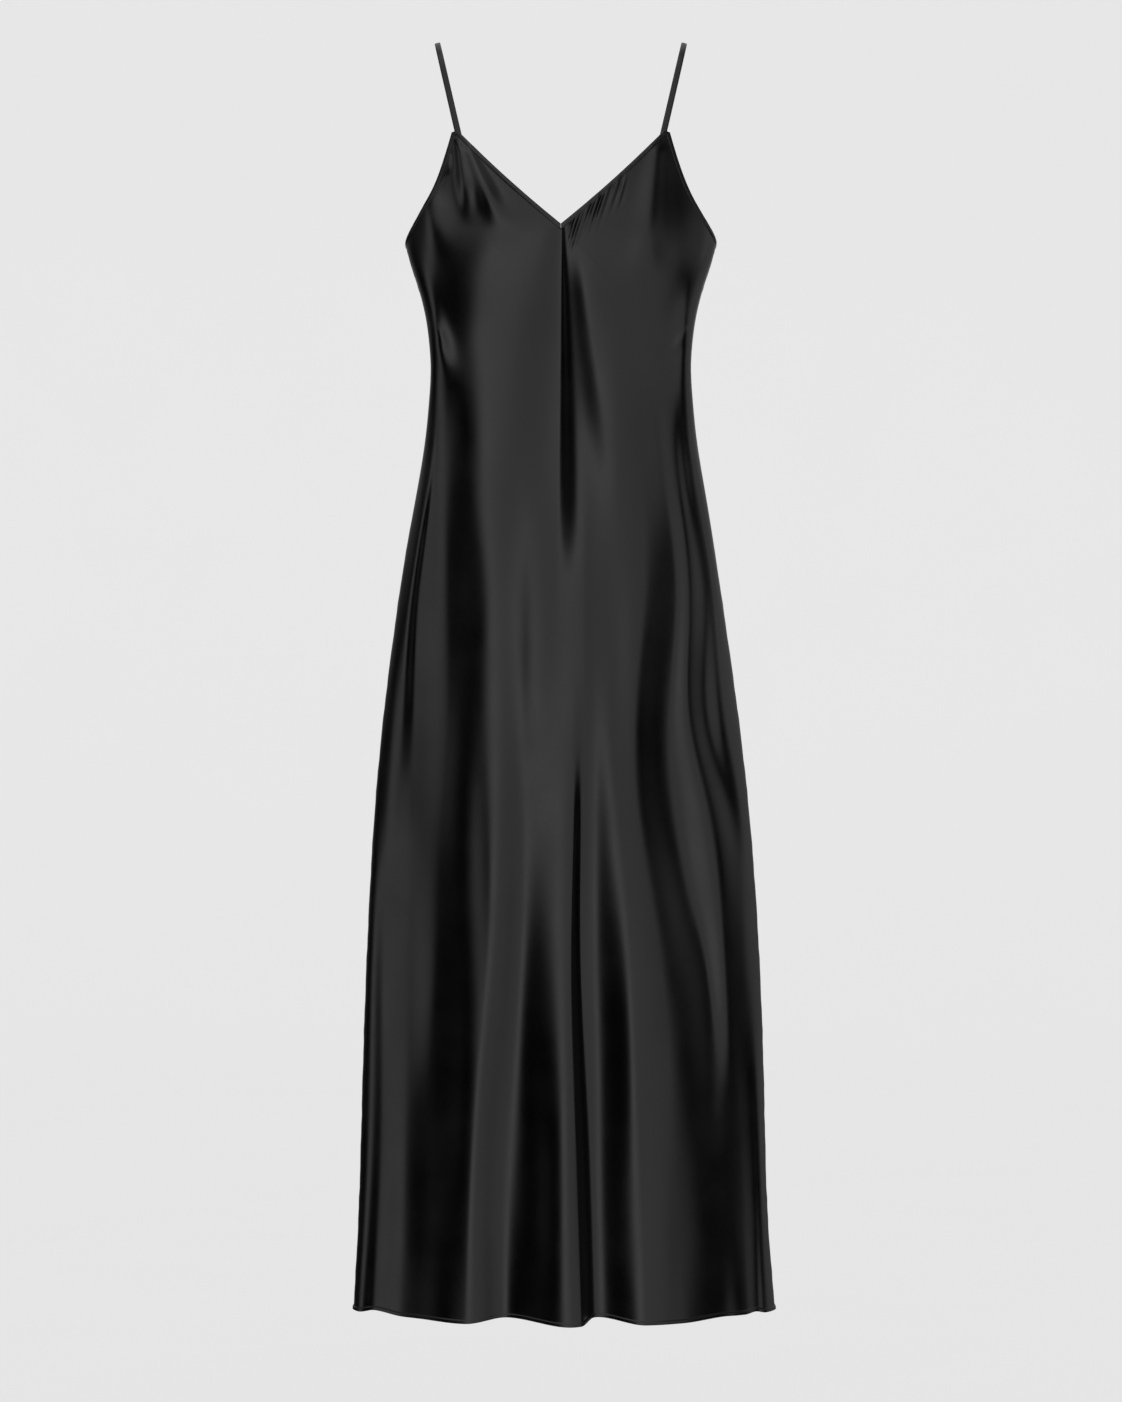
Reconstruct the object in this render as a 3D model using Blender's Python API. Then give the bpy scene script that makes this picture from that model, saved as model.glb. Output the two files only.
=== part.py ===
"""A long satin slip dress with a V neck and narrow straps, in the form it takes when worn, and empty.

Metres, +Z up. The front faces -Y and the wearer's left is +X. The origin lies between the two
straps, at the height and depth where their undersides cross the shoulders.
Every cloth piece is a wall: points on one mid surface, moved out along the normals to both sides.
"""

import math

import bpy
import numpy as np

# Cloth and trim
CLOTH = 0.0012
SEAM_GAP = 0.0003
BINDING_WIDTH = 0.0050
BINDING_THICKNESS = 0.0020
STRAP_WIDTH = 0.0060
STRAP_THICKNESS = 0.0016

# Heights of the cut
HEM_Z = -1.340
NECK_POINT_Z = -0.2012
UNDERARM_Z = -0.2120
BACK_DIP = 0.014
FAN_START_Z = -0.350
FAN_POWER = 1.35  # above 1, the rows crowd towards the top edge

# The neck edge rises from the point of the V: height = slope * x + curve * x squared
NECK_SLOPE = 0.818
NECK_CURVE = 1.19

# The strap point is a short sloping edge as wide as the strap
PEAK_INNER_X = 0.1080
PEAK_INNER_Z = -0.0990
PEAK_OUTER_X = 0.1141
PEAK_OUTER_Z = -0.1007

# The straps lie in planes that lean in towards the waist, over a round shoulder
STRAP_CREST_X = 0.1306
STRAP_LEAN = 0.2305
SHOULDER_RADIUS = 0.045
SHOULDER_Y = 0.004
STRAP_BACK_X = 0.0808
# How far each end of a strap stops short of the edge it is sewn to, along the strap
STRAP_CLEAR_FRONT = 0.0009
STRAP_CLEAR_BACK = 0.0015

# The hem dips under a ridge and lifts in a hollow by this share of the fold's depth
HEM_WAVE = 0.30
# Folds die out over this last share of the girth, so that front and back meet at the side seams
SEAM_CALM = 0.10

# Sections of the worn dress: half a rounded rectangle to the front and half to the back.
# centre_x is how far the section hangs towards the wearer's left; a higher square is boxier.
RING_COLUMNS = (
    "height", "centre_x", "half_width", "front", "back", "front_square", "back_square",
    "right_corner", "left_corner",
)
RINGS = (
    (-1.360, 0.0040, 0.2250, 0.1150, 0.1420, 1.90, 2.00, 0.000, 0.000),  # just under the hem
    (-1.250, 0.0025, 0.2172, 0.1150, 0.1400, 1.92, 2.00, 0.000, 0.000),
    (-1.119, 0.0025, 0.2131, 0.1150, 0.1370, 1.95, 2.00, 0.000, 0.000),  # shin
    (-0.907, 0.0020, 0.2048, 0.1160, 0.1330, 2.00, 2.05, 0.000, 0.000),  # knee
    (-0.801, 0.0010, 0.1972, 0.1170, 0.1310, 2.05, 2.10, 0.000, 0.000),
    (-0.695, 0.0000, 0.1858, 0.1175, 0.1285, 2.15, 2.15, 0.000, 0.000),  # thigh
    (-0.611, -0.0005, 0.1744, 0.1170, 0.1265, 2.25, 2.20, 0.000, 0.000),
    (-0.547, -0.0005, 0.1648, 0.1150, 0.1235, 2.40, 2.25, 0.000, 0.005),  # hip
    (-0.483, 0.0000, 0.1537, 0.1115, 0.1150, 2.75, 2.25, 0.000, 0.011),
    (-0.420, 0.0000, 0.1431, 0.1070, 0.1010, 3.20, 2.25, 0.005, 0.014),  # high hip
    (-0.377, 0.0000, 0.1385, 0.1045, 0.0910, 3.90, 2.25, 0.010, 0.014),
    (-0.346, 0.0000, 0.1367, 0.1050, 0.0860, 4.40, 2.25, 0.013, 0.014),  # waist
    (-0.324, 0.0000, 0.1378, 0.1070, 0.0850, 4.60, 2.25, 0.013, 0.014),
    (-0.293, 0.0000, 0.1420, 0.1120, 0.0870, 4.10, 2.25, 0.006, 0.013),  # under the bust
    (-0.261, 0.0000, 0.1500, 0.1170, 0.0910, 3.60, 2.25, 0.001, 0.009),
    (-0.229, 0.0000, 0.1579, 0.1195, 0.0940, 3.00, 2.25, 0.000, 0.003),  # bust
    (-0.200, 0.0000, 0.1622, 0.1165, 0.0955, 2.70, 2.25, 0.000, 0.000),  # underarm
    (-0.150, 0.0000, 0.1590, 0.1010, 0.0950, 2.45, 2.25, 0.000, 0.000),
    (-0.095, 0.0000, 0.1500, 0.0840, 0.0940, 2.40, 2.25, 0.000, 0.000),  # strap point
)
# A front corner is a soft ridge this wide whose crest is at this share of the half width.
CORNER_WIDTH = 0.014
CORNER_PLACE = 0.98

# Armhole edge, as x and height. It ends on the side seam at the underarm.
ARMHOLE_COLUMNS = ("x", "height")
ARMHOLE = (
    (PEAK_OUTER_X, PEAK_OUTER_Z),
    (0.1206, -0.1235),
    (0.1295, -0.1500),
    (0.1410, -0.1745),
    (0.1515, -0.1935),
    (0.1585, -0.2065),
)

# Long folds of the skirt. For each level, x of the fold's line and how far it stands forward.
LEVELS = (HEM_Z, -1.12, -0.97, -0.84, -0.71, -0.58, -0.46, -0.35)
FLUTE_COLUMNS = ("name", "x at each level", "depth at each level")
FRONT_FLUTES = (
    ("right_rim", (-0.2145, -0.205, -0.201, -0.194, -0.183, -0.1665, -0.146, -0.1345),
     (0.000, 0.000, 0.000, 0.000, 0.000, 0.000, 0.000, 0.000)),
    ("right_flute", (-0.196, -0.186, -0.184, -0.178, -0.167, -0.158, -0.137, -0.130),
     (-0.010, -0.009, -0.007, -0.001, 0.001, 0.003, 0.001, 0.000)),
    ("right_dip", (-0.166, -0.160, -0.156, -0.156, -0.153, -0.147, -0.132, -0.126),
     (-0.001, -0.001, -0.001, 0.001, -0.005, -0.005, -0.001, 0.000)),
    ("right_shoulder", (-0.145, -0.138, -0.128, -0.124, -0.116, -0.116, -0.120, -0.116),
     (0.001, 0.003, 0.008, 0.009, 0.006, 0.003, 0.000, 0.000)),
    ("right_ridge", (-0.100, -0.092, -0.084, -0.073, -0.077, -0.080, -0.094, -0.100),
     (0.009, 0.010, 0.015, 0.018, 0.013, 0.008, 0.003, 0.000)),
    ("front_dip", (-0.058, -0.054, -0.045, -0.043, -0.043, -0.042, -0.048, -0.050),
     (-0.010, -0.007, -0.001, 0.003, 0.007, 0.002, 0.000, 0.000)),
    ("front_ridge", (0.010, 0.005, 0.002, 0.000, 0.000, 0.000, 0.000, 0.000),
     (0.013, 0.013, 0.008, 0.005, 0.009, 0.003, 0.000, 0.000)),
    ("slit", (0.021, 0.014, 0.010, 0.012, 0.012, 0.012, 0.012, 0.012),
     (0.011, 0.011, 0.007, 0.004, 0.009, 0.003, 0.000, 0.000)),
    ("slit_ridge", (0.034, 0.028, 0.021, 0.021, 0.023, 0.023, 0.023, 0.023),
     (-0.011, -0.012, -0.010, -0.004, 0.008, 0.003, 0.000, 0.000)),
    ("front_left_dip", (0.040, 0.035, 0.029, 0.030, 0.034, 0.034, 0.034, 0.034),
     (-0.012, -0.013, -0.011, -0.005, 0.007, 0.002, 0.000, 0.000)),
    ("front_left_ridge", (0.083, 0.078, 0.068, 0.060, 0.052, 0.060, 0.060, 0.060),
     (0.011, 0.010, 0.007, 0.003, 0.009, 0.003, 0.001, 0.000)),
    ("left_shoulder", (0.120, 0.108, 0.092, 0.080, 0.066, 0.080, 0.078, 0.075),
     (0.009, 0.008, 0.005, 0.001, 0.008, 0.002, 0.001, 0.000)),
    ("left_dip", (0.168, 0.150, 0.138, 0.118, 0.108, 0.114, 0.100, 0.092),
     (-0.002, -0.002, -0.009, -0.011, -0.004, -0.004, 0.000, 0.000)),
    ("left_ridge", (0.190, 0.180, 0.172, 0.168, 0.134, 0.133, 0.121, 0.116),
     (-0.002, -0.002, 0.002, 0.002, 0.003, 0.002, 0.004, 0.000)),
    ("left_flute", (0.205, 0.198, 0.190, 0.184, 0.150, 0.148, 0.131, 0.128),
     (-0.006, -0.004, 0.001, -0.001, -0.002, -0.001, 0.001, 0.000)),
)
BACK_FLUTES = (
    ("right_flute", (-0.186, -0.182, -0.178, -0.172, -0.164, -0.154, -0.140, -0.130),
     (0.008, 0.007, 0.006, 0.004, 0.003, 0.002, 0.001, 0.000)),
    ("right_dip", (-0.150, -0.146, -0.142, -0.137, -0.131, -0.122, -0.114, -0.110),
     (-0.012, -0.010, -0.009, -0.007, -0.005, -0.003, -0.001, 0.000)),
    ("right_ridge", (-0.104, -0.100, -0.096, -0.093, -0.090, -0.085, -0.081, -0.080),
     (0.018, 0.014, 0.011, 0.009, 0.006, 0.004, 0.001, 0.000)),
    ("centre_right_dip", (-0.056, -0.052, -0.049, -0.046, -0.041, -0.040, -0.040, -0.040),
     (-0.016, -0.011, -0.008, -0.005, -0.002, -0.001, 0.000, 0.000)),
    ("centre_ridge", (-0.006, -0.004, -0.002, 0.001, 0.004, 0.004, 0.004, 0.004),
     (0.020, 0.014, 0.010, 0.005, 0.002, 0.000, 0.000, 0.000)),
    ("centre_left_dip", (0.044, 0.044, 0.044, 0.044, 0.044, 0.044, 0.044, 0.044),
     (-0.015, -0.011, -0.008, -0.005, -0.002, 0.000, 0.000, 0.000)),
    ("left_ridge", (0.098, 0.094, 0.091, 0.089, 0.086, 0.083, 0.081, 0.080),
     (0.018, 0.015, 0.012, 0.010, 0.007, 0.004, 0.001, 0.000)),
    ("left_dip", (0.150, 0.144, 0.139, 0.134, 0.127, 0.120, 0.114, 0.110),
     (-0.012, -0.010, -0.009, -0.007, -0.006, -0.003, -0.001, 0.000)),
    ("left_flute", (0.188, 0.184, 0.180, 0.175, 0.166, 0.156, 0.141, 0.130),
     (0.008, 0.007, 0.006, 0.004, 0.003, 0.002, 0.001, 0.000)),
)

# Short folds: a soft line from a top point to a bottom point. slope is the steepest of its left
# side as the wearer stands, + standing out and - sunk in. The wearer's right side is as wide as
# right_share says, so a small share makes a sharp pleat edge there. rise and fall are the shares
# of the fold's length over which it grows and dies away.
CREASE_COLUMNS = (
    "name", "top", "bottom", "top_width", "bottom_width", "slope", "right_share", "rise", "fall"
)
FRONT_CREASES = (
    ("neck_pleat", (0.0006, -0.2060), (-0.0045, -0.5650), 0.0018, 0.0200, -0.66, 4.00, 0.03, 0.30),
    ("second_pleat", (0.0110, -0.2120), (0.0430, -0.5000), 0.0160, 0.0500, 0.10, 0.33, 0.20, 0.45),
    ("pleat_to_side", (0.0050, -0.2080), (0.0926, -0.3185), 0.0012, 0.0016, 0.12, 1.00, 0.10, 0.30),
    ("right_fan_a", (-0.1085, -0.1080), (-0.0985, -0.1760), 0.0040, 0.0090, 0.52, 0.80, 0.10, 0.60),
    ("right_fan_b", (-0.1000, -0.1120), (-0.0660, -0.1800), 0.0040, 0.0100, 0.48, 0.80, 0.15, 0.60),
    ("right_fan_c", (-0.1170, -0.1230), (-0.1190, -0.1500), 0.0030, 0.0045, 0.40, 1.00, 0.20, 0.60),
    ("right_drag", (-0.1330, -0.2950), (-0.1040, -0.4060), 0.0055, 0.0085, 0.42, 1.00, 0.25, 0.35),
    ("right_waist_a", (-0.1340, -0.3020), (-0.1170, -0.3280), 0.0030, 0.0035, 0.30, 1.00, 0.30, 0.50),
    ("left_fan_a", (0.1020, -0.1120), (0.0850, -0.2750), 0.0060, 0.0180, 0.34, 1.20, 0.10, 0.50),
    ("left_waist_a", (0.1330, -0.3060), (0.1140, -0.3370), 0.0030, 0.0040, 0.32, 1.00, 0.20, 0.60),
)
BACK_CREASES = (
    ("left_blade_fold", (0.0800, -0.2200), (0.0640, -0.3400), 0.0050, 0.0120, -0.25, 1.00, 0.10, 0.60),
    ("right_blade_fold", (-0.0800, -0.2200), (-0.0660, -0.3300), 0.0050, 0.0120, -0.25, 1.00, 0.10, 0.60),
    ("small_of_back", (0.0040, -0.3000), (0.0000, -0.4700), 0.0120, 0.0160, -0.20, 1.00, 0.40, 0.50),
)
STEEPEST_OF_BELL = 0.858  # a bell curve one wide and one high is never steeper than this

# Gathers eased into the left neck edge: where the run starts and ends, and how many there are
GATHER_START_X = 0.0100
GATHER_END_X = 0.0700
GATHERS = 7
GATHER_DEPTH = 0.0019
GATHER_LENGTH = 0.0260
GATHER_RISE = 0.0040

# Mesh steps
SKIRT_ROWS = 18
BODICE_ROWS = 15
SIDE_STEPS = 15
RIGHT_BUST_STEPS = 17
LEFT_BUST_STEPS = 8
PLEAT_STEPS = 5
PLEAT_REACH = 0.06
BACK_SIDE_STEPS = 8
BACK_MIDDLE_STEPS = 20
STRAP_LINE_STEPS = 6
STRAP_ARC_STEPS = 14

SATIN_COLOUR = (0.012, 0.012, 0.013, 1.0)


# ---------------------------------------------------------------- curves through tables


def spline(places, values):
    """A natural cubic through the points, as a function of an array."""
    xs = np.array(places, float)
    ys = np.array(values, float)
    order = np.argsort(xs)
    xs, ys = xs[order], ys[order]
    steps = np.diff(xs)
    count = len(xs)
    system = np.eye(count)
    right = np.zeros(count)
    for i in range(1, count - 1):
        system[i, i - 1 : i + 2] = steps[i - 1], 2 * (steps[i - 1] + steps[i]), steps[i]
        right[i] = 6 * ((ys[i + 1] - ys[i]) / steps[i] - (ys[i] - ys[i - 1]) / steps[i - 1])
    bend = np.linalg.solve(system, right)

    def at(x):
        x = np.clip(x, xs[0], xs[-1])
        k = np.clip(np.searchsorted(xs, x) - 1, 0, count - 2)
        h = steps[k]
        a = (xs[k + 1] - x) / h
        b = 1 - a
        cubic = ((a**3 - a) * bend[k] + (b**3 - b) * bend[k + 1]) * h**2 / 6
        return a * ys[k] + b * ys[k + 1] + cubic

    return at


def column(table, columns, name):
    return [row[columns.index(name)] for row in table]


def ring_curve(name):
    return spline(column(RINGS, RING_COLUMNS, "height"), column(RINGS, RING_COLUMNS, name))


def ease(t):
    """0 before 0, 1 after 1, and a level start and end between them."""
    return (1 - np.cos(np.pi * np.clip(t, 0, 1))) / 2


centre_x = ring_curve("centre_x")
half_width = ring_curve("half_width")


# ---------------------------------------------------------------- the two cloth surfaces


class Half:
    """The front or the back of the dress: a smooth half ring at each height, with its folds."""

    HEIGHTS = np.arange(-1.365, -0.085, 0.005)
    ANGLES = np.linspace(0, math.pi / 2, 241)
    SHARES = np.linspace(0, 1, 121)

    def __init__(self, facing, depth, square, flutes, creases, corners):
        self.facing = facing
        self.depth = ring_curve(depth)
        self.square = ring_curve(square)
        self.flutes = [(spline(LEVELS, xs), spline(LEVELS, ds)) for _, xs, ds in flutes]
        self.creases = [dict(zip(CREASE_COLUMNS, row)) for row in creases]
        self.corners = [ring_curve(name) for name in corners]
        self.angles = np.empty((len(self.HEIGHTS), len(self.SHARES)))
        self.girths = np.empty(len(self.HEIGHTS))
        for i, z in enumerate(self.HEIGHTS):
            x, y = self.ring(self.ANGLES, np.full_like(self.ANGLES, z))
            run = np.concatenate([[0], np.cumsum(np.hypot(np.diff(x), np.diff(y)))])
            self.girths[i] = run[-1]
            self.angles[i] = np.interp(self.SHARES, run / run[-1], self.ANGLES)

    def ring(self, angle, z):
        sine = np.abs(np.sin(angle))
        n = self.square(z)
        reach = (1 - np.minimum(sine, 1) ** n) ** (1 / n)
        return centre_x(z) + half_width(z) * np.sin(angle), self.facing * self.depth(z) * reach

    def girth(self, z):
        """Length along the ring from the centre to the side seam."""
        return np.interp(z, self.HEIGHTS, self.girths)

    def angle(self, share, z):
        """The ring's angle at a share of its length from the centre, signed as the share is."""
        row = np.interp(z, self.HEIGHTS, np.arange(len(self.HEIGHTS)))
        col = np.abs(share) * (len(self.SHARES) - 1)
        r = np.clip(row.astype(int), 0, len(self.HEIGHTS) - 2)
        c = np.clip(col.astype(int), 0, len(self.SHARES) - 2)
        v, u = row - r, col - c
        low = self.angles[r, c] * (1 - u) + self.angles[r, c + 1] * u
        high = self.angles[r + 1, c] * (1 - u) + self.angles[r + 1, c + 1] * u
        return np.sign(share) * (low * (1 - v) + high * v)

    def flute(self, x, z):
        """How far the long folds stand forward: a curve through their lines, with no overshoot."""
        middle, side = centre_x(z) + 0 * x, half_width(z)
        lines = [middle - side] + [line(z) + 0 * x for line, _ in self.flutes] + [middle + side]
        depths = [0 * x] + [depth(z) + 0 * x for _, depth in self.flutes] + [0 * x]
        steps = np.maximum(np.diff(lines, axis=0), 0.002)
        slopes = np.diff(depths, axis=0) / steps
        product = np.maximum(slopes[1:] * slopes[:-1], 0)
        total = slopes[1:] + slopes[:-1]
        inner = 2 * product / np.where(np.abs(total) < 1e-9, 1, total)
        leans = [0 * x, *inner, 0 * x]
        stand = 0 * x
        for k, (start, step) in enumerate(zip(lines, steps)):
            t = np.clip((x - start) / step, 0, 1)
            curve = (3 * t**2 - 2 * t**3) * (depths[k + 1] - depths[k])
            curve = curve + (t**3 - 2 * t**2 + t) * step * leans[k] + (t**3 - t**2) * step * leans[k + 1]
            stand = stand + curve
        return stand

    def crease(self, x, z):
        total = np.zeros_like(x)
        for c in self.creases:
            (x0, z0), (x1, z1) = c["top"], c["bottom"]
            t = (z0 - z) / (z0 - z1)
            inside = np.clip(t, 0, 1)
            width = c["top_width"] + (c["bottom_width"] - c["top_width"]) * inside
            across = (x - x0 - (x1 - x0) * inside) * math.cos(math.atan2(x1 - x0, z0 - z1))
            along = ease((t + 0.02) / c["rise"]) * ease((1 - t) / c["fall"])
            depth = c["slope"] * width / STEEPEST_OF_BELL
            reach = np.where(across < 0, width * c["right_share"], width)
            total = total + depth * along * np.exp(-((across / reach) ** 2))
        return total

    def corner(self, x, z):
        """How far the front's corners stand forward at the two sides of the body."""
        total = np.zeros_like(x)
        for side, height in zip((-1, 1), self.corners):
            away = side * (x - centre_x(z)) - CORNER_PLACE * half_width(z)
            total = total + height(z) * np.exp(-((away / CORNER_WIDTH) ** 2))
        return total

    def gathers(self, x, z):
        if self.facing > 0:
            return np.zeros_like(x)
        run = (x - GATHER_START_X) / (GATHER_END_X - GATHER_START_X)
        below = neck_height(x) - z
        calm = ease(run * 5) * ease((1 - run) * 5)
        calm = calm * ease((below - BINDING_WIDTH) / GATHER_RISE) * ease(1 - below / GATHER_LENGTH)
        return GATHER_DEPTH * calm * np.sin(2 * np.pi * GATHERS * run)

    def at(self, share, z):
        """Points of the mid surface."""
        x, y = self.ring(self.angle(share, z), z)
        calm = ease((1 - np.abs(share)) / SEAM_CALM)
        folds = self.flute(x, z) + self.crease(x, z) + self.corner(x, z) + self.gathers(x, z)
        stand = folds * calm
        return np.stack([x, y + self.facing * stand, z + 0 * x], axis=-1)

    def normals(self, share, z):
        step = 1e-3
        inward = np.clip(np.abs(share), 0, 1 - step) * np.sign(share)
        across = self.at(inward + step, z) - self.at(inward - step * (np.abs(inward) < 1), z)
        up = self.at(share, z + step) - self.at(share, z - step)
        n = np.cross(across, up) * -self.facing
        return n / np.linalg.norm(n, axis=-1, keepdims=True)


def neck_height(x):
    return NECK_POINT_Z + NECK_SLOPE * np.abs(x) + NECK_CURVE * x**2


def back_height(share):
    return UNDERARM_Z - BACK_DIP * np.cos(np.pi / 2 * share) ** 2


CORNERS = ("right_corner", "left_corner")
front = Half(-1, "front", "front_square", FRONT_FLUTES, FRONT_CREASES, CORNERS)
back = Half(1, "back", "back_square", BACK_FLUTES, BACK_CREASES, ())


# ---------------------------------------------------------------- the top edge, in shares and heights


def share_at(half, x, z):
    """The share of the half girth where the ring at height z reaches this x."""
    shares = np.linspace(0, 1, 400)
    xs, _ = half.ring(half.angle(shares, np.full_like(shares, z)), np.full_like(shares, z))
    return float(np.interp(x, xs, shares))


def front_edge(shares):
    """Heights of the front's top edge at these shares: armhole, strap point, neck."""
    heights = []
    for share in np.abs(shares):
        if share >= PEAK_OUTER:
            heights.append(float(armhole_height(share)))
        elif share >= PEAK_INNER:
            t = (share - PEAK_INNER) / (PEAK_OUTER - PEAK_INNER)
            heights.append(PEAK_INNER_Z + (PEAK_OUTER_Z - PEAK_INNER_Z) * t)
        else:
            z = NECK_POINT_Z
            for _ in range(30):
                x, _ = front.ring(front.angle(np.array([share]), np.array([z])), np.array([z]))
                z = float(neck_height(x[0]))
            heights.append(z)
    return np.array(heights)


def inset(half, shares, heights, width):
    """The edge's points moved inwards on the cloth by width, with mitred corners."""
    points = np.stack([shares * half.girth(heights), heights], axis=-1)
    along = np.diff(points, axis=0)
    along /= np.linalg.norm(along, axis=1, keepdims=True)
    before = np.vstack([[1, 0], along])
    after = np.vstack([along, [1, 0]])
    down_before = np.stack([before[:, 1], -before[:, 0]], axis=-1)
    down_after = np.stack([after[:, 1], -after[:, 0]], axis=-1)
    down = down_before + down_after
    down /= np.linalg.norm(down, axis=1, keepdims=True)
    reach = width / np.sum(down * down_after, axis=1, keepdims=True)
    reach[0] = reach[-1] = width
    moved = points + down * reach
    moved[0, 0], moved[-1, 0] = points[0, 0], points[-1, 0]
    lower = moved[:, 1]
    return np.clip(moved[:, 0] / half.girth(lower), -1, 1), lower


PEAK_INNER = share_at(front, PEAK_INNER_X, PEAK_INNER_Z)
PEAK_OUTER = share_at(front, PEAK_OUTER_X, PEAK_OUTER_Z)
armhole_height = spline(
    [share_at(front, x, z) for x, z in ARMHOLE] + [1.0],
    column(ARMHOLE, ARMHOLE_COLUMNS, "height") + [UNDERARM_Z],
)


def spread(start, end, count):
    return list(np.linspace(start, end, count, endpoint=False))


def front_columns():
    """Shares of the front's columns. They crowd round the pleat, the gathers and the strap points."""
    peak = (PEAK_INNER + PEAK_OUTER) / 2
    turns = (np.arange(2 * GATHERS) + 0.5) / (2 * GATHERS)
    crests = GATHER_START_X + (GATHER_END_X - GATHER_START_X) * turns
    gathers = [share_at(front, x, neck_height(x) - GATHER_LENGTH / 2) for x in crests]
    right = spread(-1, -PEAK_OUTER, SIDE_STEPS) + [-PEAK_OUTER, -peak]
    right += spread(-PEAK_INNER, -PLEAT_REACH, RIGHT_BUST_STEPS) + spread(-PLEAT_REACH, 0, PLEAT_STEPS)
    left = spread(0, gathers[0], PLEAT_STEPS) + gathers
    left += spread(gathers[-1], PEAK_INNER, LEFT_BUST_STEPS)[1:]
    left += [PEAK_INNER, peak] + spread(PEAK_OUTER, 1, SIDE_STEPS) + [1]
    return np.array(right + left)


# ---------------------------------------------------------------- solids


def wall(name, points, normals, thickness, material):
    """A closed wall on a grid of points, half its thickness to each side."""
    rows, cols = points.shape[:2]
    outer = (points + normals * thickness / 2).reshape(-1, 3)
    inner = (points - normals * thickness / 2).reshape(-1, 3)
    count = rows * cols
    index = np.arange(count).reshape(rows, cols)
    faces = []
    for r in range(rows - 1):
        for c in range(cols - 1):
            a, b, d, e = index[r, c], index[r, c + 1], index[r + 1, c + 1], index[r + 1, c]
            faces.append((a, b, d, e))
            faces.append((count + e, count + d, count + b, count + a))
    rim = list(index[0, :]) + list(index[1:, -1]) + list(index[-1, -2::-1]) + list(index[-2:0:-1, 0])
    for a, b in zip(rim, rim[1:] + rim[:1]):
        faces.append((b, a, count + a, count + b))
    mesh = bpy.data.meshes.new(name)
    mesh.from_pydata(np.vstack([outer, inner]).tolist(), [], [tuple(int(i) for i in f) for f in faces])
    if signed_volume(mesh) < 0:
        mesh.flip_normals()
    mesh.shade_smooth()
    mesh.set_sharp_from_angle(angle=math.radians(50))
    mesh.materials.append(material)
    made = bpy.data.objects.new(name, mesh)
    bpy.context.scene.collection.objects.link(made)
    return made


def signed_volume(mesh):
    mesh.calc_loop_triangles()
    total = 0.0
    for t in mesh.loop_triangles:
        a, b, c = (mesh.vertices[i].co for i in t.vertices)
        total += a.dot(b.cross(c)) / 6
    return total


def panel(name, half, shares, top_edge, material):
    """A panel from the hem to just under the binding. Its rows fan out above the waist."""
    top_shares, top = inset(half, shares, top_edge, BINDING_WIDTH + SEAM_GAP)
    x, _ = half.ring(half.angle(shares, np.full_like(shares, HEM_Z)), np.full_like(shares, HEM_Z))
    calm = ease((1 - np.abs(shares)) / SEAM_CALM)
    hem = HEM_Z - HEM_WAVE * half.flute(x, np.full_like(x, HEM_Z)) * calm
    places, heights = [], []
    for t in np.linspace(0, 1, SKIRT_ROWS, endpoint=False):
        places.append(shares)
        heights.append(hem + (FAN_START_Z - hem) * t)
    for t in np.linspace(0, 1, BODICE_ROWS + 1):
        grown = 1 - (1 - t) ** FAN_POWER
        places.append(shares + (top_shares - shares) * ease(grown))
        heights.append(FAN_START_Z + (top - FAN_START_Z) * grown)
    places, heights = np.array(places), np.array(heights)
    points = half.at(places, heights)
    points[:, [0, -1], 1] = half.facing * SEAM_GAP / 2
    return wall(name, points, half.normals(places, heights), CLOTH, material)


def cut_ends(rows):
    """Moves the first and last station of a strip's rows along it, to leave the seam gaps."""
    for row in rows:
        for end, inner in ((0, 1), (-1, -2)):
            step = row[inner] - row[end]
            row[end] = row[end] + step / np.linalg.norm(step) * SEAM_GAP
    return rows


def bindings(shares, material):
    """Two neck bindings, and one from strap point to strap point, under the arms and round the back."""
    heights = front_edge(shares)
    low_shares, low = inset(front, shares, heights, BINDING_WIDTH)
    upper, lower = front.at(shares, heights), front.at(low_shares, low)
    upper_n, lower_n = front.normals(shares, heights), front.normals(low_shares, low)
    centre = int(np.argmin(np.abs(shares)))
    peak = (PEAK_INNER + PEAK_OUTER) / 2
    right_peak = int(np.argmin(np.abs(shares + peak)))
    left_peak = int(np.argmin(np.abs(shares - peak)))
    for name, first, last in (
        ("neck_binding_right", right_peak, centre),
        ("neck_binding_left", centre, left_peak),
    ):
        span = slice(first, last + 1)
        rows = cut_ends([upper[span].copy(), lower[span].copy()])
        wall(name, np.array(rows), np.array([upper_n[span], lower_n[span]]), BINDING_THICKNESS, material)
    back_shares = back_columns()
    back_heights = back_height(back_shares)
    back_low_shares, back_low = inset(back, back_shares, back_heights, BINDING_WIDTH)
    round_back = slice(1, len(back_shares) - 1)
    pieces = []
    for front_row, back_row in (
        (upper, back.at(back_shares, back_heights)),
        (lower, back.at(back_low_shares, back_low)),
        (upper_n, back.normals(back_shares, back_heights)),
        (lower_n, back.normals(back_low_shares, back_low)),
    ):
        right_arm = front_row[: right_peak + 1][::-1]
        left_arm = front_row[left_peak:][::-1]
        pieces.append(np.concatenate([right_arm, back_row[round_back], left_arm]))
    rows = cut_ends(pieces[:2])
    wall("underarm_binding", np.array(rows), np.array(pieces[2:]), BINDING_THICKNESS, material)


def back_columns():
    strap = share_at(back, STRAP_BACK_X, UNDERARM_Z)
    side = spread(-1, -strap, BACK_SIDE_STEPS)
    middle = spread(-strap, strap, BACK_MIDDLE_STEPS)
    return np.array(side + middle + spread(strap, 1, BACK_SIDE_STEPS) + [1])


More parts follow.
